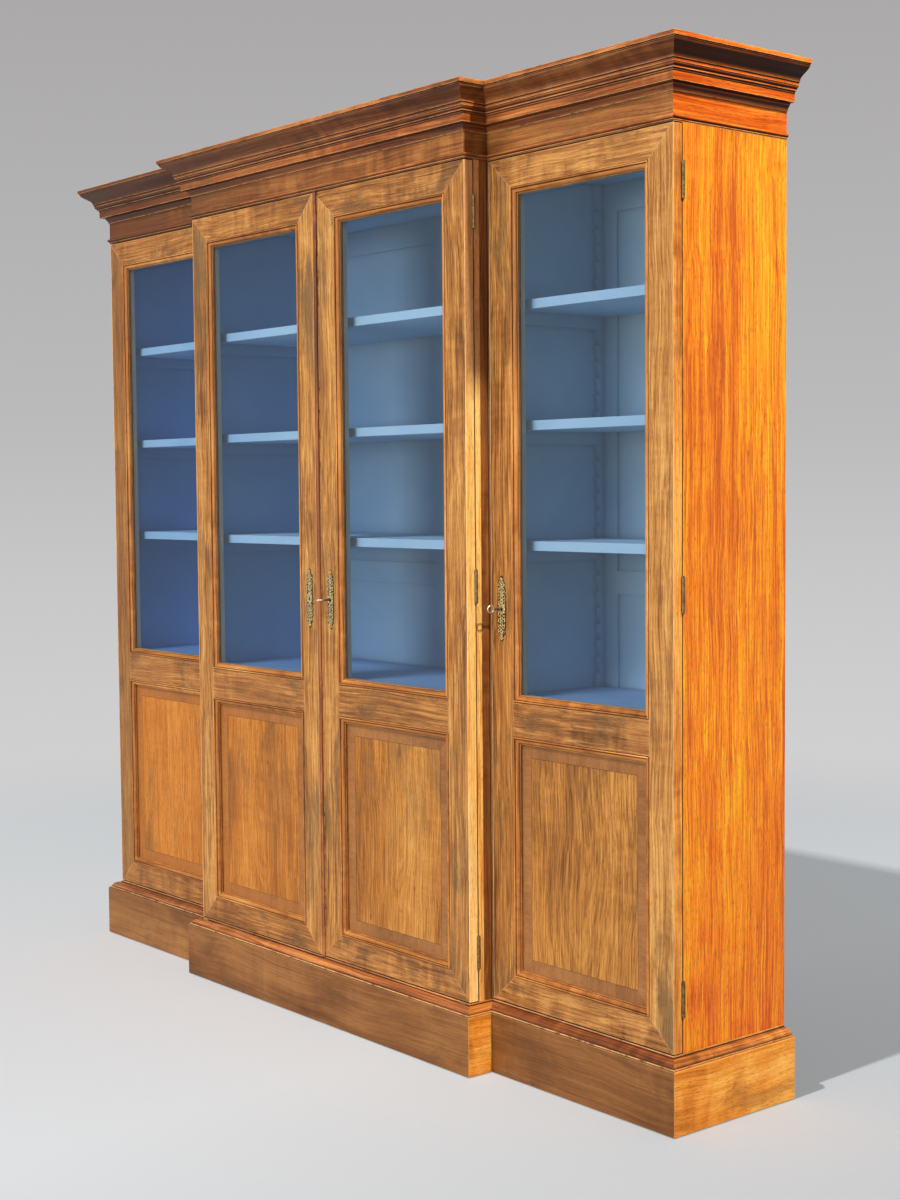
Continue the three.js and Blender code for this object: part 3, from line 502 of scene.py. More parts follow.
    def facing_down(self) -> Socket:
        """Gives 1 on undersides and 0 on upright and upper faces."""
        normal = self.axis(self.node("NewGeometry", {}).outputs["Normal"], "Z")
        return self.band(self.times(normal, -1.0), 0.08, 0.7)

    def bump(self, height: Socket, strength: float, depth: float) -> Socket:
        """Turns a height into a normal."""
        values = {"Height": height, "Strength": strength, "Distance": depth}
        return self.node("Bump", values).outputs[0]

    def surface(self, values: Mapping[str, Any]) -> bpy.types.Material:
        """Adds the shader and the output.

        Args:
            values: Input name to a socket, a colour or a number.

        Returns:
            The finished material.
        """
        shader = self.node("BsdfPrincipled", {key: opaque(value) for key, value in values.items()})
        self.node("OutputMaterial", {"Surface": shader.outputs[0]})
        return self.owner


class Grain(Enum):
    """Which way the grain of a piece runs."""

    X = 0
    Y = 1
    Z = 2
    RUN = 3
    ACROSS_RUN = 4


@dataclass(frozen=True)
class Mahogany:
    """Polished mahogany, plain or figured.

    Growth bands and a slow drift move a value along a ramp of three tones. Grey-brown smudges,
    fine dark fibres, short open pores and a few flecks lie over it, with painted shade in tight corners.
    """

    name: str
    grain: Grain
    dark: Colour = srgb(118, 66, 26)
    mid: Colour = srgb(188, 122, 54)
    light: Colour = srgb(232, 172, 92)
    smoky: Colour = srgb(98, 72, 42)
    pore_tone: Colour = srgb(60, 30, 12)
    fleck_tone: Colour = srgb(84, 38, 12)
    underside_shade_tone: Colour = srgb(30, 11, 4)
    crevice_shade_tone: Colour = srgb(44, 17, 6)
    joint_tone: Colour = srgb(52, 22, 8)
    crease_shade_tone: Colour = srgb(50, 19, 7)
    rubbed_highlight_tone: Colour = srgb(240, 196, 136)
    streak: float = 1.1
    bands: tuple[float, float] = (2.4, 46.0)
    drift: float = 0.9
    wander: float = 0.04
    ripple: float = 0.7
    smudge: float = 0.5
    smudge_scale: tuple[float, float] = (5.0, 8.0)
    fine: float = 1.0
    fibre: float = 0.35
    pores: float = 0.45
    flecks: float = 0.0
    arched: bool = False
    rings: float = 0.0
    roughness: float = 0.42
    specular: float = 0.25
    coat: float = 0.04
    # Weights of painted shade in tight corners, on undersides and along hollows, then of rubbed wear that doubles as
    # painted highlight.
    crevice_shade: float = 0.0
    crevice_shade_reach: float = 9.0 * MM
    undersides: float = 0.0
    lines: float = 0.0
    wear: float = 0.0
    joint_line: tuple[float, float] | None = None
    joint_weight: float = 0.85
    # Tint towards the left end: painted shade on cornice and frieze, darker stiles and rails, warmer panels and
    # crossbands.
    leftward: float = 0.0
    leftward_tone: Colour = srgb(228, 130, 20)
    leftward_span: tuple[float, float] = (-0.9, 1.1)
    height_tints: tuple[tuple[float, Colour], ...] = ()
    shift: float = 0.0
    panel_pitch: float = 592.0 * MM
    panel_middle: float = 296.0 * MM
    arch_height: float = 620.0 * MM
    arch_slope: float = 0.15
    arch_bend: float = 0.13
    arch_wander: float = 0.6
    ring_pitch: float = 9.0 * MM

    def scales(self, along: float, across: float) -> tuple[float, float, float]:
        """Gives the scale on each axis for a pattern that is longer along the grain.

        Args:
            along: Scale along the grain.
            across: Scale across it.

        Returns:
            The scales on three axes, of the UV map where the grain follows the run.
        """
        if self.grain is Grain.RUN:
            return (along, across, 1.0)
        if self.grain is Grain.ACROSS_RUN:
            return (across, along, 1.0)
        scale = [across, across, across]
        scale[self.grain.value] = along
        return tuple(scale)

    def streaks(
        self, graph: Graph, place: Socket, scale: tuple[float, float], shift: float, detail: float,
        rough: float = 0.5, twist: float = 0.0,
    ) -> Socket:
        """Gives noise drawn out along the grain: its scale is that along the grain, and that across."""
        return graph.streaks(place, self.scales(*scale), self.shift + shift, detail, rough, twist)

    def growth(self, graph: Graph, place: Socket) -> Socket:
        """Gives the place in which growth bands run straight.

        On an arched panel the distance from the panel's middle is the root of the squares of the
        sideways distance and of the height above the arch, flattened, so bands close in arches.

        Args:
            graph: The material's tree.
            place: The place on the piece.

        Returns:
            The place to draw growth bands in.
        """
        if not self.arched:
            return place
        axes = graph.node("SeparateXYZ", {"Vector": place})
        wobble = graph.streaks(place, (3.0, 3.0, 2.2), self.shift + 4.0, 2.0)
        wander = graph.streaks(place, (1.7, 1.7, 3.5), self.shift + 8.0, 1.0)
        wrapped = graph.math("WRAP", axes.outputs["X"], self.panel_pitch, 0.0)
        bend = graph.times(graph.math("SUBTRACT", wobble, 0.5), self.arch_bend)
        sideways = graph.math("ADD", graph.math("SUBTRACT", wrapped, self.panel_middle), bend)
        rise = graph.math("ADD", graph.math("SUBTRACT", axes.outputs["Z"], self.arch_height),
                          graph.times(graph.math("SUBTRACT", wander, 0.5), self.arch_wander))
        flat = graph.times(rise, self.arch_slope)
        square = graph.math("ADD", graph.times(sideways, sideways), graph.times(flat, flat))
        radius = graph.math("SQRT", square)
        return graph.node("CombineXYZ", {"X": radius, "Y": axes.outputs["Y"], "Z": axes.outputs["Z"]}).outputs[0]

    def figure(self, graph: Graph, place: Socket, loose: Socket) -> Socket:
        """Gives the value that moves along the ramp of tones.

        It is the weighted sum of growth bands, fine streaks and slow drift, with ripples across the
        grain in patches, and less a line at each growth ring.

        Args:
            graph: The material's tree.
            place: The place on the piece.
            loose: The same place, moved by slow noise.

        Returns:
            The value, about 0.5.
        """
        growth = self.growth(graph, loose)
        layers = (
            (growth, self.bands, 5.0, self.streak), (loose, (4.0, 230.0), 3.0, self.fine),
            (place, (1.3, 5.0), 3.0, self.drift),
        )
        value: Any = 0.5 - 0.5 * sum(layer[3] for layer in layers)
        for index, (start, scale, detail, weight) in enumerate(layers):
            layer = self.streaks(graph, start, scale, 3.0 * index, detail, 0.6, 0.3)
            value = graph.math("MULTIPLY_ADD", layer, weight, value)
        waves = self.streaks(graph, loose, (26.0, 7.0), 1.0, 3.0, 0.55, 0.4)
        patch = graph.band(self.streaks(graph, place, (2.4, 5.0), 6.0, 2.0), 0.42, 0.6)
        cross = graph.times(graph.math("SUBTRACT", waves, 0.5), patch)
        value = graph.math("MULTIPLY_ADD", cross, self.ripple, value)
        if self.rings > 0.0:
            drifted = graph.streaks(place, (5.0, 5.0, 1.6), self.shift + 12.0, 3.0)
            radius = graph.axis(growth, "X")
            phase = graph.math("MULTIPLY_ADD", radius, 1.0 / self.ring_pitch, graph.times(drifted, 2.0))
            line = graph.math("SUBTRACT", 1.0, graph.band(graph.math("PINGPONG", phase, 0.5), 0.0, 0.4))
            value = graph.math("MULTIPLY_ADD", line, -self.rings, value)
        return value

    def tinted_by_place(self, graph: Graph, colour: Socket) -> Socket:
        """Tints the wood by its place in the bookcase, towards the left and by height; these tints paint shade on the
        cornice, frieze and upper break, and deepen the painted sunlit orange of the sides.

        Args:
            graph: The material's tree.
            colour: The wood's colour.

        Returns:
            The tinted colour.
        """
        if self.leftward > 0.0:
            leftwards = graph.times(graph.axis(graph.place(), "X"), -1.0)
            share = graph.band(leftwards, *self.leftward_span)
            colour = graph.tinted(colour, share, self.leftward, self.leftward_tone)
        if self.height_tints:
            share = graph.times(graph.axis(graph.place(), "Z"), 1.0 / TALLEST)
            colour = graph.mix(1.0, colour, graph.ramp(share, self.height_tints), "MULTIPLY")
        return colour

    def tone(self, graph: Graph) -> tuple[Socket, Socket]:
        """Builds the wood's colour.

        Args:
            graph: The material's tree.

        Returns:
            The colour, and the height of fibres and pores.
        """
        place = graph.place(self.grain in (Grain.RUN, Grain.ACROSS_RUN))
        loose = graph.warped(place, 2.6, self.wander)
        value = self.figure(graph, place, loose)
        colour = self.tinted_by_place(graph, graph.ramp(value, [(0.2, self.dark), (0.5, self.mid), (0.8, self.light)]))
        if self.smudge > 0.0:
            cloud = self.streaks(graph, loose, self.smudge_scale, 3.0, 6.0, 0.68, 0.5)
            colour = graph.tinted(colour, graph.band(cloud, 0.5, 0.66), self.smudge, self.smoky)
        threads = graph.band(self.streaks(graph, loose, (5.0, 300.0), 2.0, 3.0, 0.65), 0.5, 0.68)
        colour = graph.tinted(colour, threads, self.fibre, self.dark)
        specks = self.streaks(graph, place, (60.0, 700.0), 5.0, 1.0)
        pore = graph.times(graph.band(specks, 0.58, 0.7), self.pores)
        colour = graph.mix(pore, colour, self.pore_tone)
        if self.flecks > 0.0:
            stretched = graph.stretched(place, self.scales(6.0, 15.0), self.shift)
            cells = graph.node("TexVoronoi", {"Vector": stretched, "Scale": 1.0}).outputs["Distance"]
            mark = graph.math("SUBTRACT", 1.0, graph.band(cells, 0.02, 0.06))
            colour = graph.tinted(colour, mark, self.flecks, self.fleck_tone)
        return colour, graph.math("SUBTRACT", graph.times(threads, -0.3), pore)

    def weathered(self, graph: Graph, colour: Socket) -> Socket:
        """Paints shade on undersides, in tight corners and along hollows, adds dark joint lines, and rubs the outward
        edges bright as wear and painted highlight.

        Args:
            graph: The material's tree.
            colour: The clean wood's colour.

        Returns:
            The aged colour.
        """
        # Painted shade on faces that look down, under overhangs.
        if self.undersides > 0.0:
            colour = graph.tinted(colour, graph.facing_down(), self.undersides, self.underside_shade_tone)
        # Painted shade: darkens tight corners and recesses by ambient occlusion.
        if self.crevice_shade > 0.0:
            shade = graph.band(graph.math("SUBTRACT", 1.0, graph.crevice(self.crevice_shade_reach)), 0.1, 0.62)
            colour = graph.tinted(colour, shade, self.crevice_shade, self.crevice_shade_tone)
        if self.joint_line is not None:
            near, far = self.joint_line
            inside = graph.math("COMPARE", graph.axis(graph.place(), "Y"), (near + far) / 2.0, (far - near) / 2.0)
            colour = graph.tinted(colour, inside, self.joint_weight, self.joint_tone)
        turn: Any = None
        # Painted shade: dark lines along the hollows of creased shells.
        if self.lines > 0.0:
            turn = graph.node("Attribute", {}, attribute_name="hollow").outputs["Fac"]
            colour = graph.tinted(colour, graph.band(turn, 0.06, 0.4), self.lines, self.crease_shade_tone)
        # Rubbed wear and painted highlight: bright broken lines along arrises, and along the crests of creased shells.
        if self.wear > 0.0:
            broken = graph.band(graph.noise(graph.place(), 34.0, 4.0, 0.7), 0.3, 0.55)
            arris = graph.arris(2.6 * MM) if turn is None else graph.times(turn, -0.7)
            rubbed = graph.times(graph.band(arris, 0.1, 0.5), broken)
            colour = graph.tinted(colour, rubbed, self.wear, self.rubbed_highlight_tone)
        return colour

    def build(self) -> bpy.types.Material:
        """Makes the material.

        Returns:
            The material.
        """
        graph = Graph.of_material(self.name)
        colour, height = self.tone(graph)
        colour = self.weathered(graph, colour)
        return graph.surface({
            "Base Color": colour, "Roughness": self.roughness, "Specular IOR Level": self.specular,
            "Coat Weight": self.coat, "Coat Roughness": 0.25, "Normal": graph.bump(height, 0.3, 0.25 * MM),
        })


@dataclass(frozen=True)
class Region:
    """A half space: the places whose coordinate on an axis lies below a limit, or above it."""

    axis: str
    limit: float
    above: bool = False
    mirrored: bool = False

    def holds(self, graph: Graph, place: Socket) -> Socket:
        """Gives 1 in the half space, or in it and its mirror image, and 0 outside."""
        value = graph.math("ABSOLUTE", graph.axis(place, self.axis)) if self.mirrored else graph.axis(place, self.axis)
        return graph.math("GREATER_THAN" if self.above else "LESS_THAN", value, self.limit)


@dataclass(frozen=True)
class PaintedWood:
    """Blue eggshell paint inside, over wood that shows in the regions where it was left bare."""

    name: str
    bare: Mahogany
    bare_regions: tuple[tuple[Region, ...], ...] = ()
    paint: Colour = srgb(172, 211, 235)
    shadow: Colour = srgb(146, 190, 222)
    deep: Colour = srgb(52, 144, 224)
    dusty: Colour = srgb(150, 170, 190)
    # Tone of the painted shade in the corners.
    corner: Colour = srgb(52, 70, 92)
    deepening: float = 0.6
    bay_shade: float = 0.0
    bay_tone: Colour = (0.66, 0.56, 0.44)
    bays_span: tuple[float, float] = (890.0 * MM, 2111.7 * MM)
    shelf_shares: tuple[tuple[float, float], ...] = ((0.278, 0.29), (0.508, 0.52), (0.737, 0.75))
    roughness: float = 0.5

    def bays(self, graph: Graph, place: Socket) -> Socket:
        """Gives white low in each bay between the shelves, and a painted shade of grey under the shelf above it.

        Args:
            graph: The material's tree.
            place: The place on the piece.

        Returns:
            The colour to multiply the paint by.
        """
        white = (1.0, 1.0, 1.0)
        share = graph.share(graph.axis(place, "Z"), *self.bays_span)
        at_shelves = [stop for under, over in self.shelf_shares for stop in ((under, self.bay_tone), (over, white))]
        return graph.ramp(share, [(0.0, white), *at_shelves, (1.0, self.bay_tone)])

    def bare_share(self, graph: Graph, place: Socket) -> Socket:
        """Gives 1 where the wood is bare: in any of the groups of regions that all hold together.

        Args:
            graph: The material's tree.
            place: The place on the piece.

        Returns:
            1 on bare wood and 0 on paint.
        """
        groups = [functools.reduce(graph.times, [region.holds(graph, place) for region in group])
                  for group in self.bare_regions]
        return functools.reduce(functools.partial(graph.math, "MAXIMUM"), groups)

    def build(self) -> bpy.types.Material:
        """Makes the material: brushed paint with faint wear, mixed with the bare wood by place.

        Returns:
            The material.
        """
        graph = Graph.of_material(self.name)
        place = graph.place()
        clouds = graph.noise(place, 3.2, 4.0, 0.6)
        brush = graph.streaks(place, (260.0, 260.0, 14.0), 2.0, 3.0, 0.6)
        dust = graph.noise(place, 90.0, 4.0, 0.7)
        paint = graph.ramp(clouds, [(0.3, self.shadow), (0.7, self.paint)])
        paint = graph.tinted(paint, graph.band(dust, 0.6, 0.8), 0.2, self.dusty)
        # Painted shade: the paint darkens into tight corners.
        edge = graph.math("SUBTRACT", 1.0, graph.crevice(14.0 * MM), clamp=True)
        paint = graph.tinted(paint, edge, 0.35, self.corner)
        # Painted shade: the paint turns a deeper, darker blue towards the left end.
        leftwards = graph.times(graph.axis(place, "X"), -1.0)
        paint = graph.tinted(paint, graph.band(leftwards, -0.1, 0.9), self.deepening, self.deep)
        if self.bay_shade > 0.0:
            paint = graph.mix(self.bay_shade, paint, self.bays(graph, place), "MULTIPLY")
        height = graph.times(brush, 0.5)
        roughness: Socket | float = self.roughness
        if self.bare_regions:
            share = self.bare_share(graph, place)
            wood, grain = self.bare.tone(graph)
            paint = graph.mix(share, paint, self.bare.weathered(graph, wood))
            height = graph.mix(share, height, grain)
            roughness = graph.math("SUBTRACT", roughness, graph.times(share, roughness - self.bare.roughness))
        return graph.surface({
            "Base Color": paint, "Roughness": roughness, "Normal": graph.bump(height, 0.25, 0.2 * MM),
        })


@dataclass(frozen=True)
class Metal:
    """Aged brass or worn steel: bright where it is rubbed, dark in its hollows."""

    name: str
    bright: Colour
    dull: Colour
    roughness: float = 0.32
    metallic: float = 1.0
    mottle: float = 160.0
    span: tuple[float, float] = (0.3, 0.62)
    tarnish: Colour = srgb(38, 27, 14)

    def build(self) -> bpy.types.Material:
        """Makes the material.

        Returns:
            The material.
        """
        graph = Graph.of_material(self.name)
        place = graph.place()
        stain = graph.noise(place, self.mottle, 5.0, 0.65)
        scratch = graph.streaks(place, (900.0, 900.0, 160.0), 1.0, 2.0)
        colour = graph.ramp(stain, [(self.span[0], self.dull), (self.span[1], self.bright)])
        hollow = graph.math("SUBTRACT", 1.0, graph.crevice(3.0 * MM), clamp=True)
        colour = graph.tinted(colour, hollow, 0.8, self.tarnish)
        rough = graph.math("MULTIPLY_ADD", stain, 0.3, self.roughness - 0.12)
        return graph.surface({
            "Base Color": colour, "Metallic": self.metallic, "Roughness": rough,
            "Normal": graph.bump(scratch, 0.12, 0.1 * MM),
        })


@dataclass(frozen=True)
class OldGlass:
    """Thin sheet glass with a faint grey-green veil and slow waves."""

    name: str
    veil: Colour = srgb(108, 118, 128)
    alpha: float = 0.11

    def build(self) -> bpy.types.Material:
        """Makes the material.

        Returns:
            The material.
        """
        graph = Graph.of_material(self.name)
        waves = graph.streaks(graph.place(), (5.0, 5.0, 2.0), 0.0, 2.0)
        return graph.surface({
            "Base Color": self.veil, "Roughness": 0.04, "Alpha": self.alpha, "Specular IOR Level": 0.4,
            "Normal": graph.bump(waves, 0.1, 1.0 * MM),
        })


def tones(dark: Sequence[int], mid: Sequence[int], light: Sequence[int]) -> dict[str, Colour]:
    """Gives the three tones of a wood from display colours."""
    return {"dark": srgb(*dark), "mid": srgb(*mid), "light": srgb(*light)}


MOULDING = tones((116, 62, 24), (190, 118, 52), (236, 168, 90))
# Painted sunlit tone: the amber of the sunlit door edge and plinth returns.
SUNLIT_AMBER = tones((172, 92, 22), (232, 148, 54), (252, 190, 94))
# Painted sunlight: the yellow of the sunlit strip on the break.
SUNLIT_HONEY = tones((216, 144, 64), (255, 206, 118), (255, 230, 164))
PINE = {**tones((120, 88, 56), (160, 124, 84), (186, 152, 108)), "ripple": 0.0, "roughness": 0.75, "coat": 0.0}
# Painted shade: cornice and frieze darken towards the left end, where the light falls off.
LEFTWARD_SHADE = {"leftward": 0.82, "leftward_tone": srgb(88, 44, 18), "leftward_span": (-0.45, 1.15)}
SHADED_BREAK = {"height_tints": ((0.66, (1.0, 1.0, 1.0)), (0.7, (0.77, 0.57, 0.66)))}

DOOR_WOODS = (
    Mahogany(
        "stile_veneer", Grain.Z, **tones((112, 66, 30), (184, 122, 58), (222, 164, 88)), streak=0.8, fine=1.3,
        ripple=0.4, smudge=0.75, smudge_scale=(2.6, 10.0), smoky=srgb(102, 78, 50), crevice_shade=0.4, wear=0.35,
        leftward=0.65, leftward_tone=srgb(122, 74, 34), leftward_span=(0.7, 1.3),
    ),
    Mahogany(
        "rail_veneer", Grain.X, **tones((106, 62, 28), (170, 110, 54), (214, 152, 80)), streak=0.7, fine=1.3,
        bands=(3.2, 44.0), drift=0.7, ripple=0.9, smudge=0.65, smudge_scale=(6.0, 8.0), smoky=srgb(98, 72, 46),
        crevice_shade=0.4, wear=0.35, leftward=0.3, leftward_tone=srgb(164, 102, 44), shift=4.0,
    ),
    Mahogany(
        "panel_veneer", Grain.Z, **tones((114, 66, 26), (184, 120, 50), (216, 156, 78)), arched=True, rings=0.09,
        streak=0.5, bands=(1.6, 70.0), drift=0.8, ripple=0.4, smudge_scale=(3.0, 7.0), smoky=srgb(108, 80, 50),
        fibre=0.4, flecks=0.7, leftward=0.45, leftward_tone=srgb(222, 124, 14), crevice_shade=0.3, shift=9.0,
    ),
    Mahogany(
        "crossband_veneer", Grain.ACROSS_RUN, **tones((122, 76, 38), (154, 100, 54), (180, 122, 68)), streak=0.4,
        fine=0.4, ripple=0.0, fibre=0.2, smudge=0.3, leftward=0.6, leftward_tone=srgb(190, 112, 38),
        leftward_span=(-0.5, 0.9), shift=2.0,
    ),
    # Door edges take the painted sunlit amber.
    Mahogany("door_edge", Grain.Z, **SUNLIT_AMBER, smudge=0.3, wear=0.4, shift=21.0),
    # Painted highlight: a pale lipping for the bright line along the right wing door's edge beside the break.
    Mahogany(
        "pale_highlight_edge", Grain.Z, **tones((190, 130, 90), (226, 178, 138), (244, 208, 172)), smudge=0.2, wear=0.4,
        shift=23.0,
    ),
    # The centre door's edge at the break takes the painted sunlit honey, with a painted shadow higher up.
    Mahogany("sunlit_break_edge", Grain.Z, **SUNLIT_HONEY, **SHADED_BREAK, streak=0.8, ripple=0.3, smudge=0.15, wear=0.4, shift=22.0),
    Mahogany("door_moulding", Grain.RUN, **MOULDING, streak=0.6, fine=0.6, smudge=0.1, lines=0.95, wear=0.45),
    Mahogany("panel_core", Grain.Z, **tones((40, 20, 10), (56, 30, 15), (70, 40, 20))),
    # Dark ground behind the escutcheon: shows through the piercings and as a painted shadow round the plate.
    Mahogany("dark_ground_and_shadow", Grain.Z, **tones((14, 9, 5), (26, 16, 9), (46, 30, 18))),
)
CASE_WOODS = (
    Mahogany(
        "cornice_wood", Grain.RUN, **tones((94, 42, 16), (164, 89, 39), (212, 133, 68)), **LEFTWARD_SHADE, streak=0.8,
        smudge=0.4, crevice_shade=0.5, crevice_shade_reach=12.0 * MM, undersides=0.5, lines=0.88, wear=0.5, shift=6.0,
    ),
    # Painted sunlight: a brighter, more orange copy of the cornice wood for the outer returns, with heavy painted shade
    # under its overhangs.
    Mahogany(
        "sunlit_cornice_return", Grain.RUN, **tones((146, 48, 8), (224, 102, 14), (252, 152, 52)), streak=0.9, smudge=0.15,
        crevice_shade=0.9, crevice_shade_reach=18.0 * MM, undersides=0.97, lines=0.95, wear=0.6, specular=0.15, coat=0.0, shift=7.0,
    ),
    Mahogany(
        "frieze_veneer", Grain.RUN, **tones((97, 52, 23), (148, 88, 40), (190, 126, 64)), **LEFTWARD_SHADE, streak=0.8,
        ripple=0.9, smudge=0.55, smudge_scale=(6.0, 8.0), crevice_shade=0.4, shift=11.0,
    ),
    Mahogany(
        "plinth_wood", Grain.RUN, **tones((86, 48, 20), (134, 84, 41), (174, 118, 63)), streak=0.35, fine=0.5,
        drift=1.3, ripple=0.3, wander=0.05, smudge=0.45, smudge_scale=(2.4, 6.0), smoky=srgb(84, 54, 26), fibre=0.3,
        pores=0.3, crevice_shade=0.5, wear=0.3, shift=13.0,
    ),
    # Painted sunlight: a brighter amber copy of the plinth wood for the returns.
    Mahogany(
        "sunlit_plinth_return", Grain.RUN, **SUNLIT_AMBER, streak=0.7, fine=0.6, ripple=0.6, wander=0.08, smudge=0.4,
        smudge_scale=(4.0, 9.0), fibre=0.3, crevice_shade=0.5, wear=0.6, specular=0.15, coat=0.0, shift=14.0,
    ),
    Mahogany(
        "ledge_wood", Grain.RUN, **tones((80, 38, 16), (138, 76, 36), (196, 126, 70)), streak=0.6, smudge=0.1,
        crevice_shade=0.6, undersides=0.7, lines=0.92, wear=0.7, shift=15.0,
    ),
    # Painted sunlight: a brighter copy of the ledge wood for the returns.
    Mahogany(
        "sunlit_ledge_return", Grain.RUN, **MOULDING, streak=0.7, smudge=0.1, crevice_shade=0.6, undersides=0.8, lines=0.88, wear=0.6,
        shift=16.0,
    ),
    Mahogany(
        "break_shade", Grain.Z, **tones((84, 44, 18), (124, 72, 34), (156, 98, 50)), crevice_shade=0.6,
        joint_line=(-113.0 * MM, -109.0 * MM), shift=17.0,
    ),
    Mahogany("rail_pine", Grain.X, **PINE),
)
PLAIN_PINE = Mahogany("pine", Grain.Z, **PINE)
# Painted sunlight: a brighter, more saturated orange copy of the mahogany for the outsides of the sides; its height
# tints deepen the orange towards the foot and take out blue.
SUNLIT_SIDE_WOOD = Mahogany(
    "side wood", Grain.Z, **tones((198, 88, 0), (247, 142, 0), (255, 192, 34)), streak=0.85, fine=1.5,
    bands=(0.8, 44.0), wander=0.035, ripple=0.25, smudge=0.0, fibre=0.5, pores=0.5, flecks=0.45, specular=0.1,
    coat=0.0, joint_line=(-90.0 * MM, -80.2 * MM),
    height_tints=((0.0, (0.93, 0.68, 0.2)), (0.3, (1.0, 0.92, 0.3)), (0.62, (1.0, 1.0, 0.6))),
)
# Painted sunlight: the sunlit honey tone on the partition beside the break, with a painted shadow higher up.
SUNLIT_BREAK_WOOD = Mahogany(
    "break wood", Grain.Z, **SUNLIT_HONEY, **SHADED_BREAK, streak=0.8, ripple=0.3, smudge=0.2,
    joint_line=(-153.5 * MM, -151.0 * MM),
)
OUTSIDE = ((Region("X", 1162.4 * MM, above=True, mirrored=True),),)
BESIDE_BREAK = (
    (Region("Y", -79.5 * MM), Region("X", 591.7 * MM, above=True, mirrored=True)), (Region("Y", -151.5 * MM),),
)
PAINTS = (
    PaintedWood("shelf_paint", PLAIN_PINE, paint=srgb(162, 202, 232), shadow=srgb(142, 184, 218), deepening=0.2),
    # Painted shade: a darker copy of the shelf paint for the middle boards.
    PaintedWood("shaded_board_paint", PLAIN_PINE, paint=srgb(122, 164, 210), shadow=srgb(100, 142, 194), deepening=0.4),
    PaintedWood("bead_paint", PLAIN_PINE, paint=srgb(178, 172, 150), shadow=srgb(152, 146, 124), deepening=0.0),
    PaintedWood("back_paint", PLAIN_PINE, ((Region("Y", 242.0 * MM, above=True),),), bay_shade=0.75),
    PaintedWood("top_paint", PLAIN_PINE, ((Region("Z", 2136.5 * MM, above=True),),)),
    PaintedWood("bottom_paint", PLAIN_PINE, ((Region("Z", 163.6 * MM),),)),
    PaintedWood("side_finish", SUNLIT_SIDE_WOOD, OUTSIDE, bay_shade=0.6),
    PaintedWood("partition_finish", SUNLIT_BREAK_WOOD, BESIDE_BREAK, bay_shade=0.6),
)
METALS = (
    Metal("brass", srgb(186, 152, 88), srgb(104, 80, 44), 0.38),
    Metal("worn_brass", srgb(156, 124, 80), srgb(74, 56, 34), 0.46, metallic=0.8),
    Metal("dark_brass", srgb(244, 222, 158), srgb(58, 42, 22), 0.4, metallic=0.6, mottle=254.0, span=(0.42, 0.56)),
    Metal("key_steel", srgb(246, 236, 218), srgb(196, 180, 152), 0.28),
    # Painted shade: a darker copy of the key steel for the shank.
    Metal("shaded_key_shank", srgb(128, 112, 90), srgb(60, 48, 36), 0.42),
)


class Palette:
    """Every finish, made once and handed out by name."""

    def __init__(self) -> None:
        """Makes the finishes."""
        finishes = (*DOOR_WOODS, *CASE_WOODS, *PAINTS, *METALS, OldGlass("old_glass"))
        self.made = {finish.name: finish.build() for finish in finishes}

    def dress(self, piece: bpy.types.Object, finish: str, second: str = "") -> None:
        """Gives a piece its finish, and that of its second runs where it has them."""
        for name in filter(None, (finish, second)):
            piece.data.materials.append(self.made[name])


@dataclass
class Assembly:
    """A sub-assembly, whose pieces move with one body and take one finish unless a call gives a second."""

    palette: Palette
    body = "carcass"
    slot = "mahogany"

    def keep(
        self, piece: bpy.types.Object, finish: str, *nodes: str, body: str = "", slot: str = "", second: str = "",
    ) -> None:
        """Dresses a new piece, sets it on its body and hides the nodes it stands for.

        Args:
            piece: The new piece.
            finish: Name of its finish.
            nodes: Frame nodes that it replaces.
            body: Body that it moves with, if not the assembly's own.
            slot: A material slot, if not the assembly's own; not used.
            second: Name of the finish of its second runs.
        """
        self.palette.dress(piece, finish, second)
        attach(piece, body or self.body)
        if nodes:
            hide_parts(*nodes)
        LOG.info("made %s on %s", piece.name, body or self.body)

    def dress(self, node: str, finish: str) -> None:
        """Dresses a node of the frame, which keeps its shape.

        Args:
            node: Name of the node.
            finish: Name of its finish.
        """
        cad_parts[node].data.materials.clear()
        self.palette.dress(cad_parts[node], finish)
        LOG.info("dressed %s", node)


@dataclass
class Outline:
    """The plan of the broken front, in the sizes of the frame's solids."""

    half_width: float = 1184.0 * MM
    half_centre: float = 592.0 * MM
    back: float = 250.5 * MM
    wing_face: float = -109.5 * MM
    centre_face: float = -180.5 * MM
    returns: tuple[int, ...] = (0, 2, 4, 6)
    outer_returns: tuple[int, ...] = (0, 6)

    def path(self, z: float) -> np.ndarray:
        """Gives the corners from the back of the left side, round the front, to the back of the right side.

        Args:
            z: Height of the path.

        Returns:
            The corners, 8 by 3.
        """
        w, c = self.half_width, self.half_centre
        corners = [
            (-w, self.back), (-w, self.wing_face), (-c, self.wing_face), (-c, self.centre_face),
            (c, self.centre_face), (c, self.wing_face), (w, self.wing_face), (w, self.back),
        ]
        return np.insert(corners, 2, z, axis=1)

    def run(
        self, name: str, z: float, profile: np.ndarray, second_runs: Sequence[int], crease: float = 0.0,
    ) -> bpy.types.Object:
        """Carries a profile round the broken front.

        Args:
            name: Name of the piece.
            z: Height of the path.
            profile: Points of overhang and height.
            second_runs: Runs that take the second finish.
            crease: Reach of the painted shade lines along hollows and the painted highlight lines along arrises.

        Returns:
            The new object.
        """
        rings = mitred_rings(self.path(z), UP, profile, False)
        return ring_shell(name, rings, second_runs=second_runs, crease=crease)


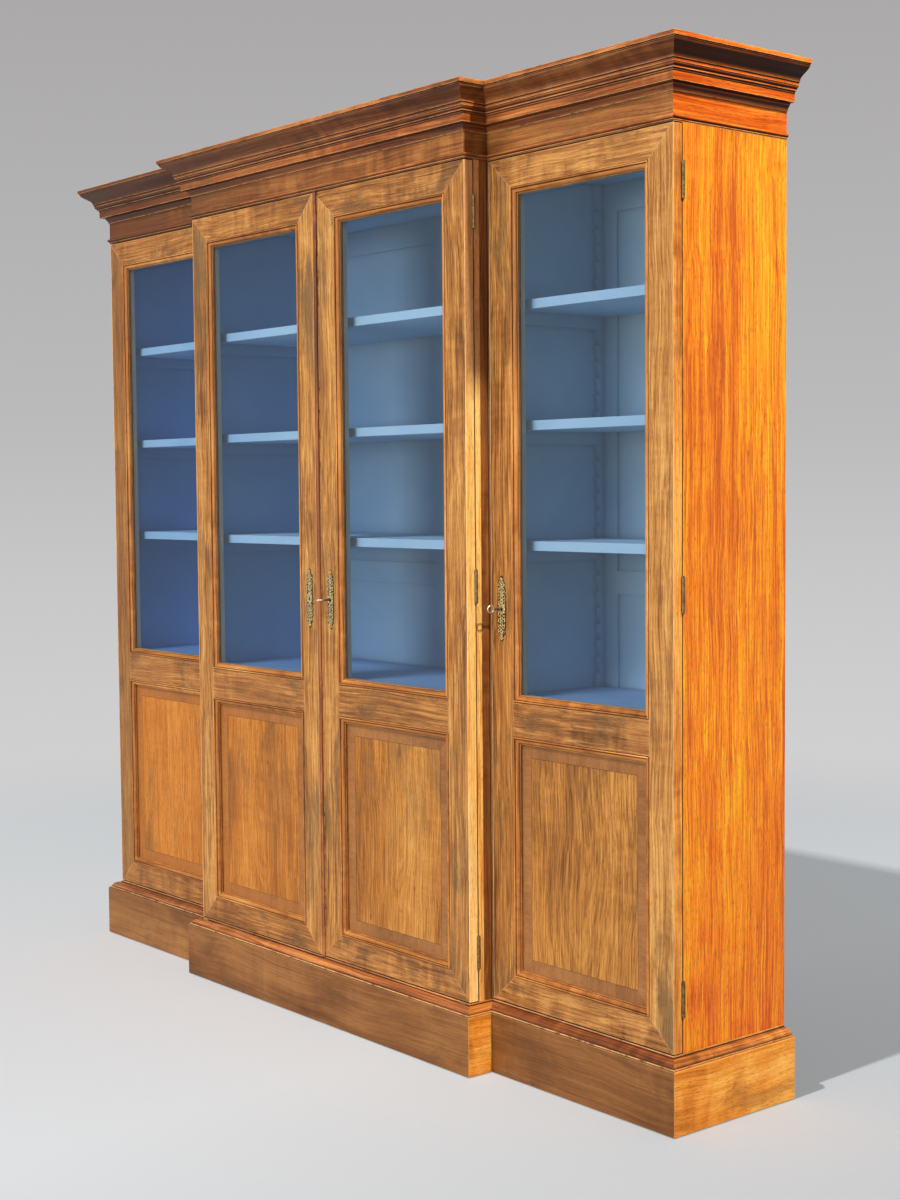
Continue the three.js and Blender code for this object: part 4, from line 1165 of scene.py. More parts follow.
@dataclass
class Cornice(Assembly):
    """The moulded cornice and the frieze under it, both returned along the sides."""

    outline: Outline
    top: float = 2300.0 * MM
    frieze_foot: float = 2137.0 * MM
    projection: float = 70.0 * MM
    drop: float = 102.0 * MM
    thickness: float = 22.0 * MM
    seat: float = 0.3 * MM
    bead_foot: float = 3.0 * MM
    bead_height: float = 11.0 * MM
    bead_projection: float = 6.0 * MM
    bead_seat: float = 0.1 * MM
    bead_fillet: float = 2.2 * MM
    bead_start: tuple[float, float] = (2.6 * MM, 1.4 * MM)
    crease: float = 1.8 * MM

    def cornice_profile(self) -> np.ndarray:
        """Gives fillet, cyma, two steps, quirk, corona and cavetto, as shares of the projection and the drop.

        Returns:
            Points of overhang and height.
        """
        p, d = self.projection, self.drop
        down = [
            (self.seat, 0.0), (p, 0.0), (p, 0.09 * d), (0.955 * p, 0.1 * d), (0.955 * p, 0.118 * d),
            *ogee((0.93 * p, 0.118 * d), (0.53 * p, 0.4 * d)).tolist(),
            (0.53 * p, 0.425 * d), (0.49 * p, 0.44 * d), (0.49 * p, 0.5 * d),
            *arc((0.47 * p, 0.5 * d), (0.4 * p, 0.56 * d), 8).tolist(),
            (0.4 * p, 0.6 * d), (0.34 * p, 0.61 * d), (0.335 * p, 0.64 * d), (0.315 * p, 0.65 * d),
            (0.315 * p, 0.83 * d), (0.15 * p, 0.84 * d),
            *ogee((0.13 * p, 0.85 * d), (0.04 * p, 0.96 * d), 14).tolist(),
            (0.035 * p, 0.995 * d), (self.seat, 0.995 * d),
        ]
        return np.array(down) * (1.0, -1.0)

    def frieze_profile(self) -> np.ndarray:
        """Gives the flat board of the frieze."""
        height = self.top - self.frieze_foot
        return np.array([(-self.thickness, 0.0), (0.0, 0.0), (0.0, height), (-self.thickness, height)])

    def astragal_profile(self) -> np.ndarray:
        """Gives a half-round bead over a small fillet.

        Returns:
            Points of overhang and height.
        """
        foot, height, seat, fillet = self.bead_foot, self.bead_height, self.bead_seat, self.bead_fillet
        rise, root = self.bead_start
        bead = half_round((foot + rise, root), height - rise, self.bead_projection - root)[:, ::-1]
        return np.concatenate([[(seat, foot), (fillet, foot), (fillet, foot + fillet)], bead, [(seat, foot + height)]])

    def build(self) -> None:
        """Makes the cornice, the frieze and the rail behind them."""
        for name, z, profile, finish, node in (
            ("cornice", self.top, self.cornice_profile(), "cornice_wood", "cornice_moulding"),
            ("frieze_face", self.frieze_foot, self.frieze_profile(), "frieze_veneer", "frieze"),
            ("frieze_astragal", self.frieze_foot, self.astragal_profile(), "cornice_wood", "frieze"),
        ):
            # The outer returns take the painted sunlit copy of the wood.
            piece = self.outline.run(name, z, profile, self.outline.outer_returns, self.crease)
            self.keep(piece, finish, node, second="sunlit_cornice_return")
        w, back = self.outline.half_width - self.thickness, self.outline.back
        rail = box_shell("frieze_back_rail", (-w, back - self.thickness, self.frieze_foot), (w, back, self.top))
        self.keep(rail, "rail_pine", "frieze")


@dataclass
class BreakShadowStrips(Assembly):
    """Painted shadow: dark strips on the partitions, beside the free edges of the wing doors, where the wing doors'
    corners cast shade.
    """

    outline: Outline
    thickness: float = 0.5 * MM
    front: float = -135.0 * MM
    back: float = -109.6 * MM
    foot: float = 163.5 * MM
    top: float = 2136.5 * MM

    def build(self) -> None:
        """Makes one strip on each side of the centre."""
        near, far = self.outline.half_centre, self.outline.half_centre + self.thickness
        for side, word in SIDES:
            x0, x1 = sorted((side * near, side * far))
            strip = box_shell(f"{word}_break_shadow_strip", (x0, self.front, self.foot), (x1, self.back, self.top))
            self.keep(strip, "break_shade")


@dataclass
class Plinth(Assembly):
    """The plinth: a fascia round the broken front under a moulded ledge, with rails inside."""

    outline: Outline
    fascia_height: float = 141.0 * MM
    height: float = 163.0 * MM
    projection: float = 31.0 * MM
    thickness: float = 25.0 * MM
    ledge: float = 22.0 * MM
    arris: float = 2.0 * MM
    rail: float = 22.0 * MM
    bearer_x: float = 570.0 * MM
    bearer_foot: float = 68.0 * MM
    bearer_gap: float = 0.3 * MM
    crease: float = 1.6 * MM

    def fascia_profile(self) -> np.ndarray:
        """Gives the upright board with a rounded top edge.

        Returns:
            Points of overhang and height.
        """
        out, inner = self.projection, self.projection - self.thickness
        edge = arc((out, self.fascia_height - self.arris), (out - self.arris, self.fascia_height), 6)
        return np.concatenate([[(inner, 0.0), (out, 0.0)], edge, [(inner, self.fascia_height)]])

    def ledge_profile(self) -> np.ndarray:
        """Gives groove, fillet, quirk, ovolo and top recess, with the ledge that the carcass stands on.

        Returns:
            Points of overhang and height.
        """
        foot, top = self.fascia_height, self.height
        fillet = self.projection - self.arris - 1.5 * MM
        quirk = fillet - 5.0 * MM
        return np.concatenate([
            [(-self.ledge, foot), (fillet - 1.4 * MM, foot), (fillet - 1.4 * MM, foot + 1.0 * MM),
             (fillet, foot + 1.2 * MM), (fillet, foot + 3.6 * MM), (quirk + 1.0 * MM, foot + 3.8 * MM),
             (quirk + 0.6 * MM, foot + 2.8 * MM), (quirk, foot + 3.2 * MM)],
            arc((quirk, foot + 4.2 * MM), (5.4 * MM, top - 5.4 * MM), 18),
            [(3.2 * MM, top - 5.2 * MM), (1.0 * MM, top - 4.6 * MM), (0.8 * MM, top - 1.6 * MM), (-0.4 * MM, top),
             (-self.ledge, top)],
        ])

    def build(self) -> None:
        """Makes fascia, ledge, back rail and bearers."""
        returns = self.outline.returns
        # The returns of fascia and ledge take their painted sunlit copies.
        fascia = self.outline.run("plinth_fascia", 0.0, self.fascia_profile(), returns)
        self.keep(fascia, "plinth_wood", "plinth", second="sunlit_plinth_return")
        ledge = self.outline.run("plinth_ledge", 0.0, self.ledge_profile(), returns, self.crease)
        self.keep(ledge, "ledge_wood", "plinth", second="sunlit_ledge_return")
        w, back = self.outline.half_width, self.outline.back
        inner = self.projection - self.thickness
        wide, narrow, foot = w + inner, w - self.ledge, self.fascia_height
        shape = [(-wide, 0.0), (wide, 0.0), (wide, foot), (narrow, foot), (narrow, self.height),
                 (-narrow, self.height), (-narrow, foot), (-wide, foot)]
        rail = slab("plinth_back_rail", shape, back - self.rail, back)
        self.keep(rail, "rail_pine", "plinth")
        for side, word in SIDES:
            x = side * self.bearer_x
            low = (x - self.rail / 2, self.outline.centre_face - inner, self.bearer_foot)
            high = (x + self.rail / 2, back - self.rail, self.height - self.bearer_gap)
            bearer = box_shell(f"plinth_bearer_{word}", low, high)
            self.keep(bearer, "rail_pine", "plinth")


@dataclass
class Carcass(Assembly):
    """The painted inside and the polished outside: nodes of the frame that keep their shape."""

    finishes: dict[str, str] = field(default_factory=lambda: {
        "left_side": "side_finish", "right_side": "side_finish",
        "left_partition": "partition_finish", "right_partition": "partition_finish",
        "back_panelling": "back_paint", "top_board": "top_paint", "bottom_board": "bottom_paint",
    })

    def build(self) -> None:
        """Dresses sides, partitions, boards, back and shelves."""
        shelves = ("lower_shelf", "shelf_1", "shelf_2", "shelf_3")
        boards = {"middle_board": "shaded_board_paint", **dict.fromkeys(shelves, "shelf_paint")}
        inside = {f"{part}_{board}": finish for part in ("left", "centre", "right") for board, finish in boards.items()}
        for node, finish in {**self.finishes, **inside}.items():
            self.dress(node, finish)


class Hand(Enum):
    """Which edge of a door carries its hinges."""

    LEFT = -1
    RIGHT = 1


@dataclass
class Door(Assembly):
    """One door: five members with mitred veneers, two moulded openings, panel, pane and brass."""

    name: str
    hand: Hand
    has_bead: bool = False
    has_key: bool = False
    bow_level: bool = False
    has_bolts: bool = False
    left_edge: str = "door_edge"
    right_edge: str = "door_edge"
    thickness: float = 25.0 * MM
    knuckle_reach: float = 7.0 * MM
    rebate: float = 13.0 * MM
    pane_gap: float = 0.3 * MM
    pane_inset: float = 10.0 * MM
    lip: float = 9.0 * MM
    member_ease: float = 0.5 * MM
    lipping: float = 2.4 * MM
    lipping_ease: float = 0.4 * MM
    moulding_crease: float = 1.6 * MM
    crossband: float = 48.0 * MM
    veneer: float = 0.8 * MM
    joint: float = 0.9 * MM
    bead_width: float = 19.0 * MM
    bead_rise: float = 7.0 * MM
    bead_fillet: float = 1.5 * MM
    bead_quirk: float = 2.6 * MM
    bead_bed: float = 0.2 * MM
    bead_crease: float = 1.2 * MM
    glazing_bead: float = 16.6 * MM
    glazing_chamfer: float = 0.8 * MM
    glazing_bed: float = 0.1 * MM
    glazing_gap: float = 0.2 * MM
    bead_beyond: float = 5.0 * MM
    bolt_room: float = 0.3 * MM
    bolt_spare: float = 2.0 * MM
    keeper_depth: float = 15.5 * MM

    def __post_init__(self) -> None:
        """Reads the door's place from the frame's solids."""
        self.body = f"{self.name}_door"
        self.frame_node = f"{self.name}_door_frame"
        self.panel_node = f"{self.name}_door_panel"
        self.pane_node = f"{self.name}_door_glass"
        low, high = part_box(self.frame_node)
        left_reach, right_reach = (self.knuckle_reach, 0.0) if self.hand is Hand.LEFT else (0.0, self.knuckle_reach)
        self.x0, self.x1 = low.x + left_reach, high.x - right_reach
        self.z0, self.z1 = low.z, high.z
        self.glass_hole, self.panel_hole = self.opening(self.pane_node), self.opening(self.panel_node)
        self.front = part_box(self.pane_node)[0].y - self.rebate - self.pane_gap
        self.back = self.front + self.thickness

    def opening(self, node: str) -> Opening:
        """Gives the opening for a pane or a panel.

        Args:
            node: The frame's node of the pane or the panel.

        Returns:
            Left, foot, right and top, beyond what it holds by the inset.
        """
        low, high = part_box(node)
        inset = self.pane_inset
        return low.x - inset, low.z - inset, high.x + inset, high.z + inset

    def bolt_slot(self) -> tuple[tuple[float, float, float], tuple[float, float, float]]:
        """Finds the slot in the free edge, for the door's own bolt or the one that its neighbour throws.

        Returns:
            Its lower and its upper corner.
        """
        low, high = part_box(f"{'right_centre' if self.has_bolts else self.name}_lock_bolt")
        depth = self.keeper_depth if self.has_bolts else high.x - low.x + self.bolt_spare
        start, end = (self.x0, self.x0 + depth) if self.hand is Hand.RIGHT else (self.x1 - depth, self.x1)
        room = self.bolt_room
        return (start, low.y - room, low.z - room), (end, high.y + room, high.z + room)

    def rear(self, outline: Sequence[Point]) -> list[Point]:
        """Gives a member's outline behind the rebate: its inner corners stand further in by the lip.

        Args:
            outline: Corners of the outline at the face.

        Returns:
            The same corners behind the rebate.
        """
        left, glass_foot, right, glass_top = self.glass_hole
        _, panel_foot, _, panel_top = self.panel_hole
        across = {left: left + self.lip, right: right - self.lip}
        heights = {glass_foot: glass_foot + self.lip, panel_foot: panel_foot + self.lip,
                   glass_top: glass_top - self.lip, panel_top: panel_top - self.lip}
        return [(across[x], heights[z]) if x in across else (x, z) for x, z in outline]

    def member(self, word: str, front: Sequence[Point], finish: str, slotted: bool) -> None:
        """Makes a stile or rail with its rebate.

        Four rings make it: the front outline at the face and at the rebate, then the rear outline,
        which reaches further behind the pane, at the rebate and at the back. A slotted stile has
        four more between the last two, of which the middle two step inwards at the bolt.

        Args:
            word: Which member.
            front: Corners of the front outline, x and z. The free edge runs from the last to the first.
            finish: Name of its finish.
            slotted: Whether the bolt's slot is cut in the free edge.
        """
        rebate, rear = self.front + self.rebate, self.rear(front)
        layers = [(self.front, front), (rebate, front), (rebate, rear), (self.back, rear)]
        if slotted:
            (start, near, foot), (end, far, top) = self.bolt_slot()
            edge = front[-1][0]
            deep = max(start, end, key=lambda x: abs(x - edge))
            first, last = (foot, top) if front[0][1] > front[-1][1] else (top, foot)
            flush = [(edge, first), (edge, first), (edge, last), (edge, last)]
            stepped = [(edge, first), (deep, first), (deep, last), (edge, last)]
            layers = [(y, [*outline, *flush]) for y, outline in layers]
            layers[3:3] = [(near, [*rear, *flush]), (near, [*rear, *stepped]), (far, [*rear, *stepped]),
                           (far, [*rear, *flush])]
        rings = np.stack([np.insert(outline, 1, y, axis=1) for y, outline in layers])
        piece = eased(ring_shell(f"{self.name}_{word}", rings), self.member_ease)
        self.keep(piece, finish, self.frame_node)

    def members(self) -> None:
        """Makes two stiles and three rails, mitred but for the middle rail."""
        x0, x1, z0, z1 = self.x0 + self.lipping, self.x1 - self.lipping, self.z0, self.z1
        left, glass_foot, right, glass_top = self.glass_hole
        _, panel_foot, _, panel_top = self.panel_hole
        free_left = self.hand is Hand.RIGHT
        for word, corners, finish, slotted in (
            ("left_stile", [(x0, z0), (left, panel_foot), (left, glass_top), (x0, z1)], "stile_veneer", free_left),
            ("right_stile", [(x1, z1), (right, glass_top), (right, panel_foot), (x1, z0)], "stile_veneer",
             not free_left),
            ("top_rail", [(x0, z1), (left, glass_top), (right, glass_top), (x1, z1)], "rail_veneer", False),
            ("bottom_rail", [(x0, z0), (x1, z0), (right, panel_foot), (left, panel_foot)], "rail_veneer", False),
            ("middle_rail", oblong(left, panel_top, right, glass_foot), "rail_veneer", False),
        ):
            self.member(word, corners, finish, slotted)

    def lippings(self) -> None:
        """Makes the lippings on both edges. That of the free edge has the hole for the bolt."""
        slot_low, slot_high = self.bolt_slot()
        for word, start, finish, is_free in (
            ("left_lipping", self.x0, self.left_edge, self.hand is Hand.RIGHT),
            ("right_lipping", self.x1 - self.lipping, self.right_edge, self.hand is Hand.LEFT),
        ):
            name = f"{self.name}_{word}"
            low, high = (start, self.front, self.z0), (start + self.lipping, self.back, self.z1)
            strip = holed_strip(name, low, high, slot_low[1:], slot_high[1:]) if is_free else box_shell(name, low, high)
            self.keep(eased(strip, self.lipping_ease), finish, self.frame_node)

    def surround(self, word: str, hole: Opening, y: float, profile: np.ndarray, **shell: float) -> bpy.types.Object:
        """Carries a profile round an opening.

        Args:
            word: What it makes.
            hole: Left, foot, right and top of the path.
            y: Depth of the path.
            profile: Points outwards and towards the front.
            shell: Values for the shell, as its smoothing or crease.

        Returns:
            The new object.
        """
        rings = mitred_rings(np.insert(oblong(*hole), 1, y, axis=1), TOWARDS_FRONT, profile, True)
        return ring_shell(f"{self.name}_{word}", rings, closed=True, **shell)

    @staticmethod
    def moulding_profile() -> np.ndarray:
        """Gives bead, quirk, ovolo and fillet from the frame in to the sight edge, worked out in millimetres.

        Returns:
            Points outwards and towards the front.
        """
        face = np.concatenate([
            [(0.0, 0.0), (0.5, -0.7), (1.1, -0.5)],
            half_round((1.2, 0.0), 3.8, 2.8, 12),
            [(5.2, -0.9), (6.2, -1.1)],
            arc((15.0, -7.0), (6.6, -0.6), 14)[::-1],
            [(15.2, -7.4), (17.0, -7.4), (17.0, -13.0), (-0.2, -13.0)],
        ])
        return face * (-MM, MM)

    def mouldings(self) -> None:
        """Makes the mitred moulding round the pane and the panel."""
        for word, hole in (("glass", self.glass_hole), ("panel", self.panel_hole)):
            piece = self.surround(f"{word}_moulding", hole, self.front, self.moulding_profile(), smooth_deg=28.0,
                                  crease=self.moulding_crease)
            self.keep(piece, "door_moulding", self.frame_node)

    def panel(self) -> None:
        """Makes the veneered panel: a dark core, a figured field and a mitred crossband round it."""
        low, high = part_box(self.panel_node)
        left, foot, right, top = self.panel_hole
        band, inset, veneer = self.crossband, self.crossband - self.joint, self.veneer
        reach = inset - (low.x - left)
        profile = np.array([(0.0, 0.0), (reach, 0.0), (reach, -veneer), (0.0, -veneer)])
        core = box_shell(f"{self.name}_panel_core", (low.x, low.y + veneer, low.z), tuple(high))
        figured = box_shell(f"{self.name}_panel_field", (left + band, low.y, foot + band),
                            (right - band, low.y + veneer, top - band))
        crossband = self.surround("panel_crossband", (left + inset, foot + inset, right - inset, top - inset), low.y,
                                  profile)
        for piece, finish in ((core, "panel_core"), (figured, "panel_veneer"), (crossband, "crossband_veneer")):
            self.keep(piece, finish, self.panel_node)

    def bead(self) -> None:
        """Makes the half-round bead down the meeting edge."""
        edge, towards = (self.x0, 1.0) if self.hand is Hand.RIGHT else (self.x1, -1.0)
        width, fillet, quirk = self.bead_width, self.bead_fillet, self.bead_quirk
        profile = np.concatenate([
            [(0.0, -self.bead_bed), (0.0, fillet)],
            half_round((quirk, fillet), width - 2.0 * quirk, self.bead_rise - fillet),
            [(width, fillet), (width, -self.bead_bed)],
        ])
        plan = profile * (towards, -1.0) + (edge, self.front)
        piece = ring_shell(f"{self.name}_meeting_bead", upright_rings(plan, self.z0, self.z1), crease=self.bead_crease)
        self.keep(piece, "ledge_wood", self.frame_node)

    def pane(self) -> None:
        """Dresses the pane, which is a node of the frame, and makes the painted beads that hold it from behind."""
        self.dress(self.pane_node, "old_glass")
        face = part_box(self.pane_node)[1].y
        inner, outer, chamfer = self.lip + self.glazing_gap, self.glazing_bead, self.glazing_chamfer
        depth = self.back + self.bead_beyond - face
        profile = np.array([(-inner, -self.glazing_bed), (-outer, -self.glazing_bed), (-outer, chamfer - depth),
                            (chamfer - outer, -depth), (-inner, -depth)])
        beads = self.surround("glazing_beads", self.glass_hole, face, profile)
        self.keep(beads, "bead_paint", slot="blue_paint")

    def build(self) -> None:
        """Makes the whole door and its brass."""
        self.lippings()
        self.members()
        self.mouldings()
        self.panel()
        self.pane()
        if self.has_bead:
            self.bead()
        Hinges(self.palette, self).build()
        Escutcheon(self.palette, self).build()
        if self.has_bolts:
            SlideBolts(self.palette, self).build()
        else:
            Lock(self.palette, self).build()
        if self.has_key:
            Key(self.palette, self).build()


@dataclass
class Fitting(Assembly):
    """Metal on a door, which moves with it."""

    door: Door
    slot = "brass"

    def __post_init__(self) -> None:
        """Takes the door's body."""
        self.body = self.door.body


@dataclass
class Hinges(Fitting):
    """The three butt hinges of a door, each with two leaves, turned knuckles and a capped pin."""

    radius: float = 4.0 * MM
    ease: float = 0.5 * MM
    gap: float = 0.25 * MM
    cap: float = 2.0 * MM
    leaf: float = 1.5 * MM
    leaf_start: float = 1.0 * MM
    leaf_gap: float = 0.1 * MM
    pin_end: tuple[Point, ...] = (
        (0.0, 0.0), (0.2 * MM, 1.4 * MM), (1.0 * MM, 2.4 * MM), (2.0 * MM, 2.0 * MM),
    )

    def barrel(self, length: float) -> list[Point]:
        """Gives one knuckle's profile, rounded at both ends.

        Args:
            length: Length of the knuckle.

        Returns:
            Points of distance along it and radius.
        """
        ease, radius = self.ease, self.radius
        return [(0.0, 0.0), (0.0, radius - ease), (ease, radius), (length - ease, radius),
                (length, radius - ease), (length, 0.0)]

    def build(self) -> None:
        """Makes knuckles, pins and leaves in place of the faceted ones."""
        door, up = self.door, Vector(UP)
        for place in ("bottom", "middle", "top"):
            node = f"{door.name}_hinge_{place}"
            low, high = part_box(node)
            pin_x = high.x - self.radius if door.hand is Hand.RIGHT else low.x + self.radius
            pin_y = low.y + self.radius
            z0, z1 = low.z + self.cap, high.z - self.cap
            third = (z1 - z0) / 3.0
            for index, body in enumerate(("carcass", door.body, "carcass")):
                start = z0 + index * third + (self.gap if index else 0.0)
                end = z0 + (index + 1) * third - (self.gap if index < 2 else 0.0)
                knuckle = turned(f"{node}_knuckle_{index + 1}", Vector((pin_x, pin_y, start)), up,
                                 self.barrel(end - start))
                self.keep(knuckle, "worn_brass", node if body == "carcass" else door.frame_node, body=body)
            length = z1 - z0 + 2.0 * self.cap
            far_end = [(length - along, radius) for along, radius in reversed(self.pin_end)]
            pin = turned(f"{node}_pin", Vector((pin_x, pin_y, z0 - self.cap)), up, [*self.pin_end, *far_end], 24)
            self.keep(pin, "worn_brass", node, body="carcass")
            x0, x1 = sorted((pin_x - door.hand.value * self.leaf_start, low.x if door.hand is Hand.RIGHT else high.x))
            for word, body, y, stands_for in (("fixed", "carcass", high.y, node),
                                              ("moving", door.body, pin_y - self.leaf_gap, door.frame_node)):
                leaf = box_shell(f"{node}_{word}_leaf", (x0, y - self.leaf, z0), (x1, y, z1))
                self.keep(leaf, "worn_brass", stands_for, body=body)


@dataclass
class Escutcheon(Fitting):
    """A long pierced brass escutcheon: lobed outline, piercings on seven levels and a keyhole."""

    bevel: float = 0.25 * MM
    # The ground reaches the spread beyond the plate's box and the plate stands in from it by the rim, so a dark rim
    # round the plate paints its shadow.
    rim: float = 2.4 * MM
    spread: float = 3.4 * MM
    edge: tuple[Point, ...] = (
        (0.0, 1.0), (0.09, 0.84), (0.18, 1.0), (0.27, 0.8), (0.38, 1.0), (0.46, 0.78), (0.56, 0.96), (0.65, 0.72),
        (0.75, 0.88), (0.82, 0.5), (0.88, 0.24), (0.93, 0.4), (1.0, 0.0),
    )
    levels: tuple[float, ...] = (0.17, 0.265, 0.36, 0.455, 0.55, 0.645, 0.74)
    level_step: float = 0.048
    taper: float = 0.3
    pair_place: float = 0.52
    pair_turn: float = 0.6
    pair_size: tuple[float, float] = (7.0 * MM, 6.2 * MM)
    middle_size: tuple[float, float] = (4.6 * MM, 4.4 * MM)
    keyhole_size: tuple[float, float] = (11.0 * MM, 6.4 * MM)
    keyhole_drop: float = 1.5 * MM
    ground: tuple[float, float] = (0.45 * MM, 0.05 * MM)
    pin_place: float = 0.86
    pin_bed: float = 0.1 * MM
    pin_head: tuple[Point, ...] = (
        (-0.6 * MM, 0.0), (-0.6 * MM, 1.3 * MM), (0.1 * MM, 1.2 * MM), (0.5 * MM, 0.7 * MM), (0.6 * MM, 0.0),
    )

    @staticmethod
    def loop(points: np.ndarray, curve: bpy.types.Curve) -> None:
        """Adds a closed outline to a flat curve.

        Args:
            points: Points of X and Z.
            curve: The curve.
        """
        spline = curve.splines.new("POLY")
        spline.points.add(len(points) - 1)
        flat = np.zeros((len(points), 4), dtype=np.float32)
        flat[:, :2] = points
        flat[:, 3] = 1.0
        spline.points.foreach_set("co", flat.ravel())
        spline.use_cyclic_u = True

    def outline(self, half_width: float, half_height: float) -> np.ndarray:
        """Gives the outline: a bar whose edge swells and dips in scrolls, with a finial at each end.

        The half width follows a table of shares by height, eased between entries as a cosine.

        Args:
            half_width: Half width at the widest swellings.
            half_height: Half height over the finials.

        Returns:
            Points of X and Z.
        """
        heights, widths = np.array(self.edge).T
        share = np.linspace(1.0, -1.0, 200)
        index = np.clip(np.searchsorted(heights, np.abs(share), side="right") - 1, 0, len(heights) - 2)
        part = (np.abs(share) - heights[index]) / (heights[index + 1] - heights[index])
        width = widths[index] + (widths[index + 1] - widths[index]) * (1.0 - np.cos(math.pi * part)) / 2.0
        right = np.stack([half_width * width, half_height * share], axis=1)
        left = right[1:-1][::-1] * (-1.0, 1.0)
        return np.concatenate([right, left])

    @staticmethod
    def drop(x: float, z: float, size: Sequence[float], turn: float = 0.0) -> np.ndarray:
        """Gives a leaf-shaped piercing: an ellipse drawn to a point, turned about its middle.

        Args:
            x: Place of its middle across the plate.
            z: Place of its middle up the plate.
            size: Length and width.
            turn: Angle of the turn.

        Returns:
            Points of X and Z.
        """
        length, width = size
        angle = np.linspace(0.0, 2.0 * math.pi, 20, endpoint=False)
        across = width / 2.0 * np.sin(angle) * (1.0 - 0.5 * np.cos(angle))
        leaf = np.stack([across, length / 2.0 * np.cos(angle)], axis=1)
        turning = np.array([[math.cos(turn), math.sin(turn)], [-math.sin(turn), math.cos(turn)]])
        return leaf @ turning + (x, z)

    def pierce(self, curve: bpy.types.Curve, half_width: float, half_height: float) -> None:
        """Adds the piercings: on each level above and below the keyhole a pair, and a small one beyond it.

        Args:
            curve: The flat curve.
            half_width: Half width of the plate.
            half_height: Half height of the plate.
        """
        for level in self.levels:
            size = 1.0 - self.taper * level
            pair, middle = size * np.array(self.pair_size), size * np.array(self.middle_size)
            for up in (-1, 1):
                self.loop(self.drop(0.0, up * (level + self.level_step) * half_height, middle), curve)
                for side, _ in SIDES:
                    x = side * half_width * self.pair_place * size
                    self.loop(self.drop(x, up * level * half_height, pair, side * up * self.pair_turn), curve)
        self.loop(self.drop(0.0, -self.keyhole_drop, self.keyhole_size), curve)

    def build(self) -> None:
        """Makes the plate from a flat curve, filled between its outline and its piercings, and the dark ground under
        it, whose rim round the plate is a painted shadow.
        """
        node = f"{self.door.name}_escutcheon"
        low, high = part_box(node)
        middle = (low + high) / 2.0
        half_width, half_depth, half_height = ((end - start) / 2.0 for start, end in zip(low, high))
        half_width, inset = half_width + self.spread, self.rim + self.bevel
        curve = bpy.data.curves.new(node + "_curve", "CURVE")
        curve.dimensions = "2D"
        curve.fill_mode = "BOTH"
        self.loop(self.outline(half_width - inset, half_height - inset), curve)
        self.pierce(curve, half_width, half_height)
        curve.extrude = half_depth - self.bevel
        curve.bevel_depth = self.bevel
        curve.bevel_resolution = 1
        holder = bpy.data.objects.new(node + "_holder", curve)
        mesh = bpy.data.meshes.new_from_object(holder)
        bpy.data.objects.remove(holder)
        mesh.transform(Matrix.Translation(middle) @ Matrix.Rotation(math.pi / 2.0, 4, "X"))
        mesh.name = node + "_plate"
        self.keep(finished(mesh.name, mesh, 40.0), "dark_brass", node)
        shape = self.outline(half_width, half_height) + (middle.x, middle.z)
        ground = slab(f"{node}_ground", shape, *(high.y - depth for depth in self.ground))
        self.keep(ground, "dark_ground_and_shadow", slot="mahogany")
        for end, word in ((-1.0, "foot"), (1.0, "top")):
            foot = Vector((middle.x, low.y + self.pin_bed, middle.z + end * half_height * self.pin_place))
            head = turned(f"{node}_pin_{word}", foot, Vector(TOWARDS_FRONT), self.pin_head, 16)
            self.keep(head, "brass")


@dataclass
class Lock(Fitting):
    """The brass selvage of the lock on the free edge, its case on the back, and the bolt."""

    plate_height: float = 76.0 * MM
    plate_front: float = 8.5 * MM
    plate_back: float = 22.5 * MM
    plate_proud: float = 0.25 * MM
    plate_bed: float = 0.8 * MM
    case_width: float = 66.0 * MM
    case_bed: float = 1.0 * MM
    case_proud: float = 0.3 * MM
    case_ease: float = 0.2 * MM

    def build(self) -> None:
        """Makes the two parts of the selvage and the case, and dresses the bolt."""
        door = self.door
        self.dress(f"{door.name}_lock_bolt", "brass")
        low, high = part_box(f"{door.name}_escutcheon")
        middle = (low.z + high.z) / 2.0
        z0, z1 = middle - self.plate_height / 2.0, middle + self.plate_height / 2.0
        (_, _, slot_foot), (_, _, slot_top) = door.bolt_slot()
        edge = door.x0 if door.hand is Hand.RIGHT else door.x1
        inward = door.hand.value
        x0, x1 = sorted((edge - inward * self.plate_proud, edge + inward * self.plate_bed))
        for word, foot, top in (("lower", z0, slot_foot), ("upper", slot_top, z1)):
            plate = box_shell(f"{door.name}_selvage_{word}", (x0, door.front + self.plate_front, foot),
                              (x1, door.front + self.plate_back, top))
            self.keep(plate, "brass")
        near, far = sorted((edge, edge + inward * self.case_width))
        case = box_shell(f"{door.name}_lock_case", (near, door.back - self.case_bed, z0),
                         (far, door.back + self.case_proud, z1))
        self.keep(eased(case, self.case_ease), "brass")


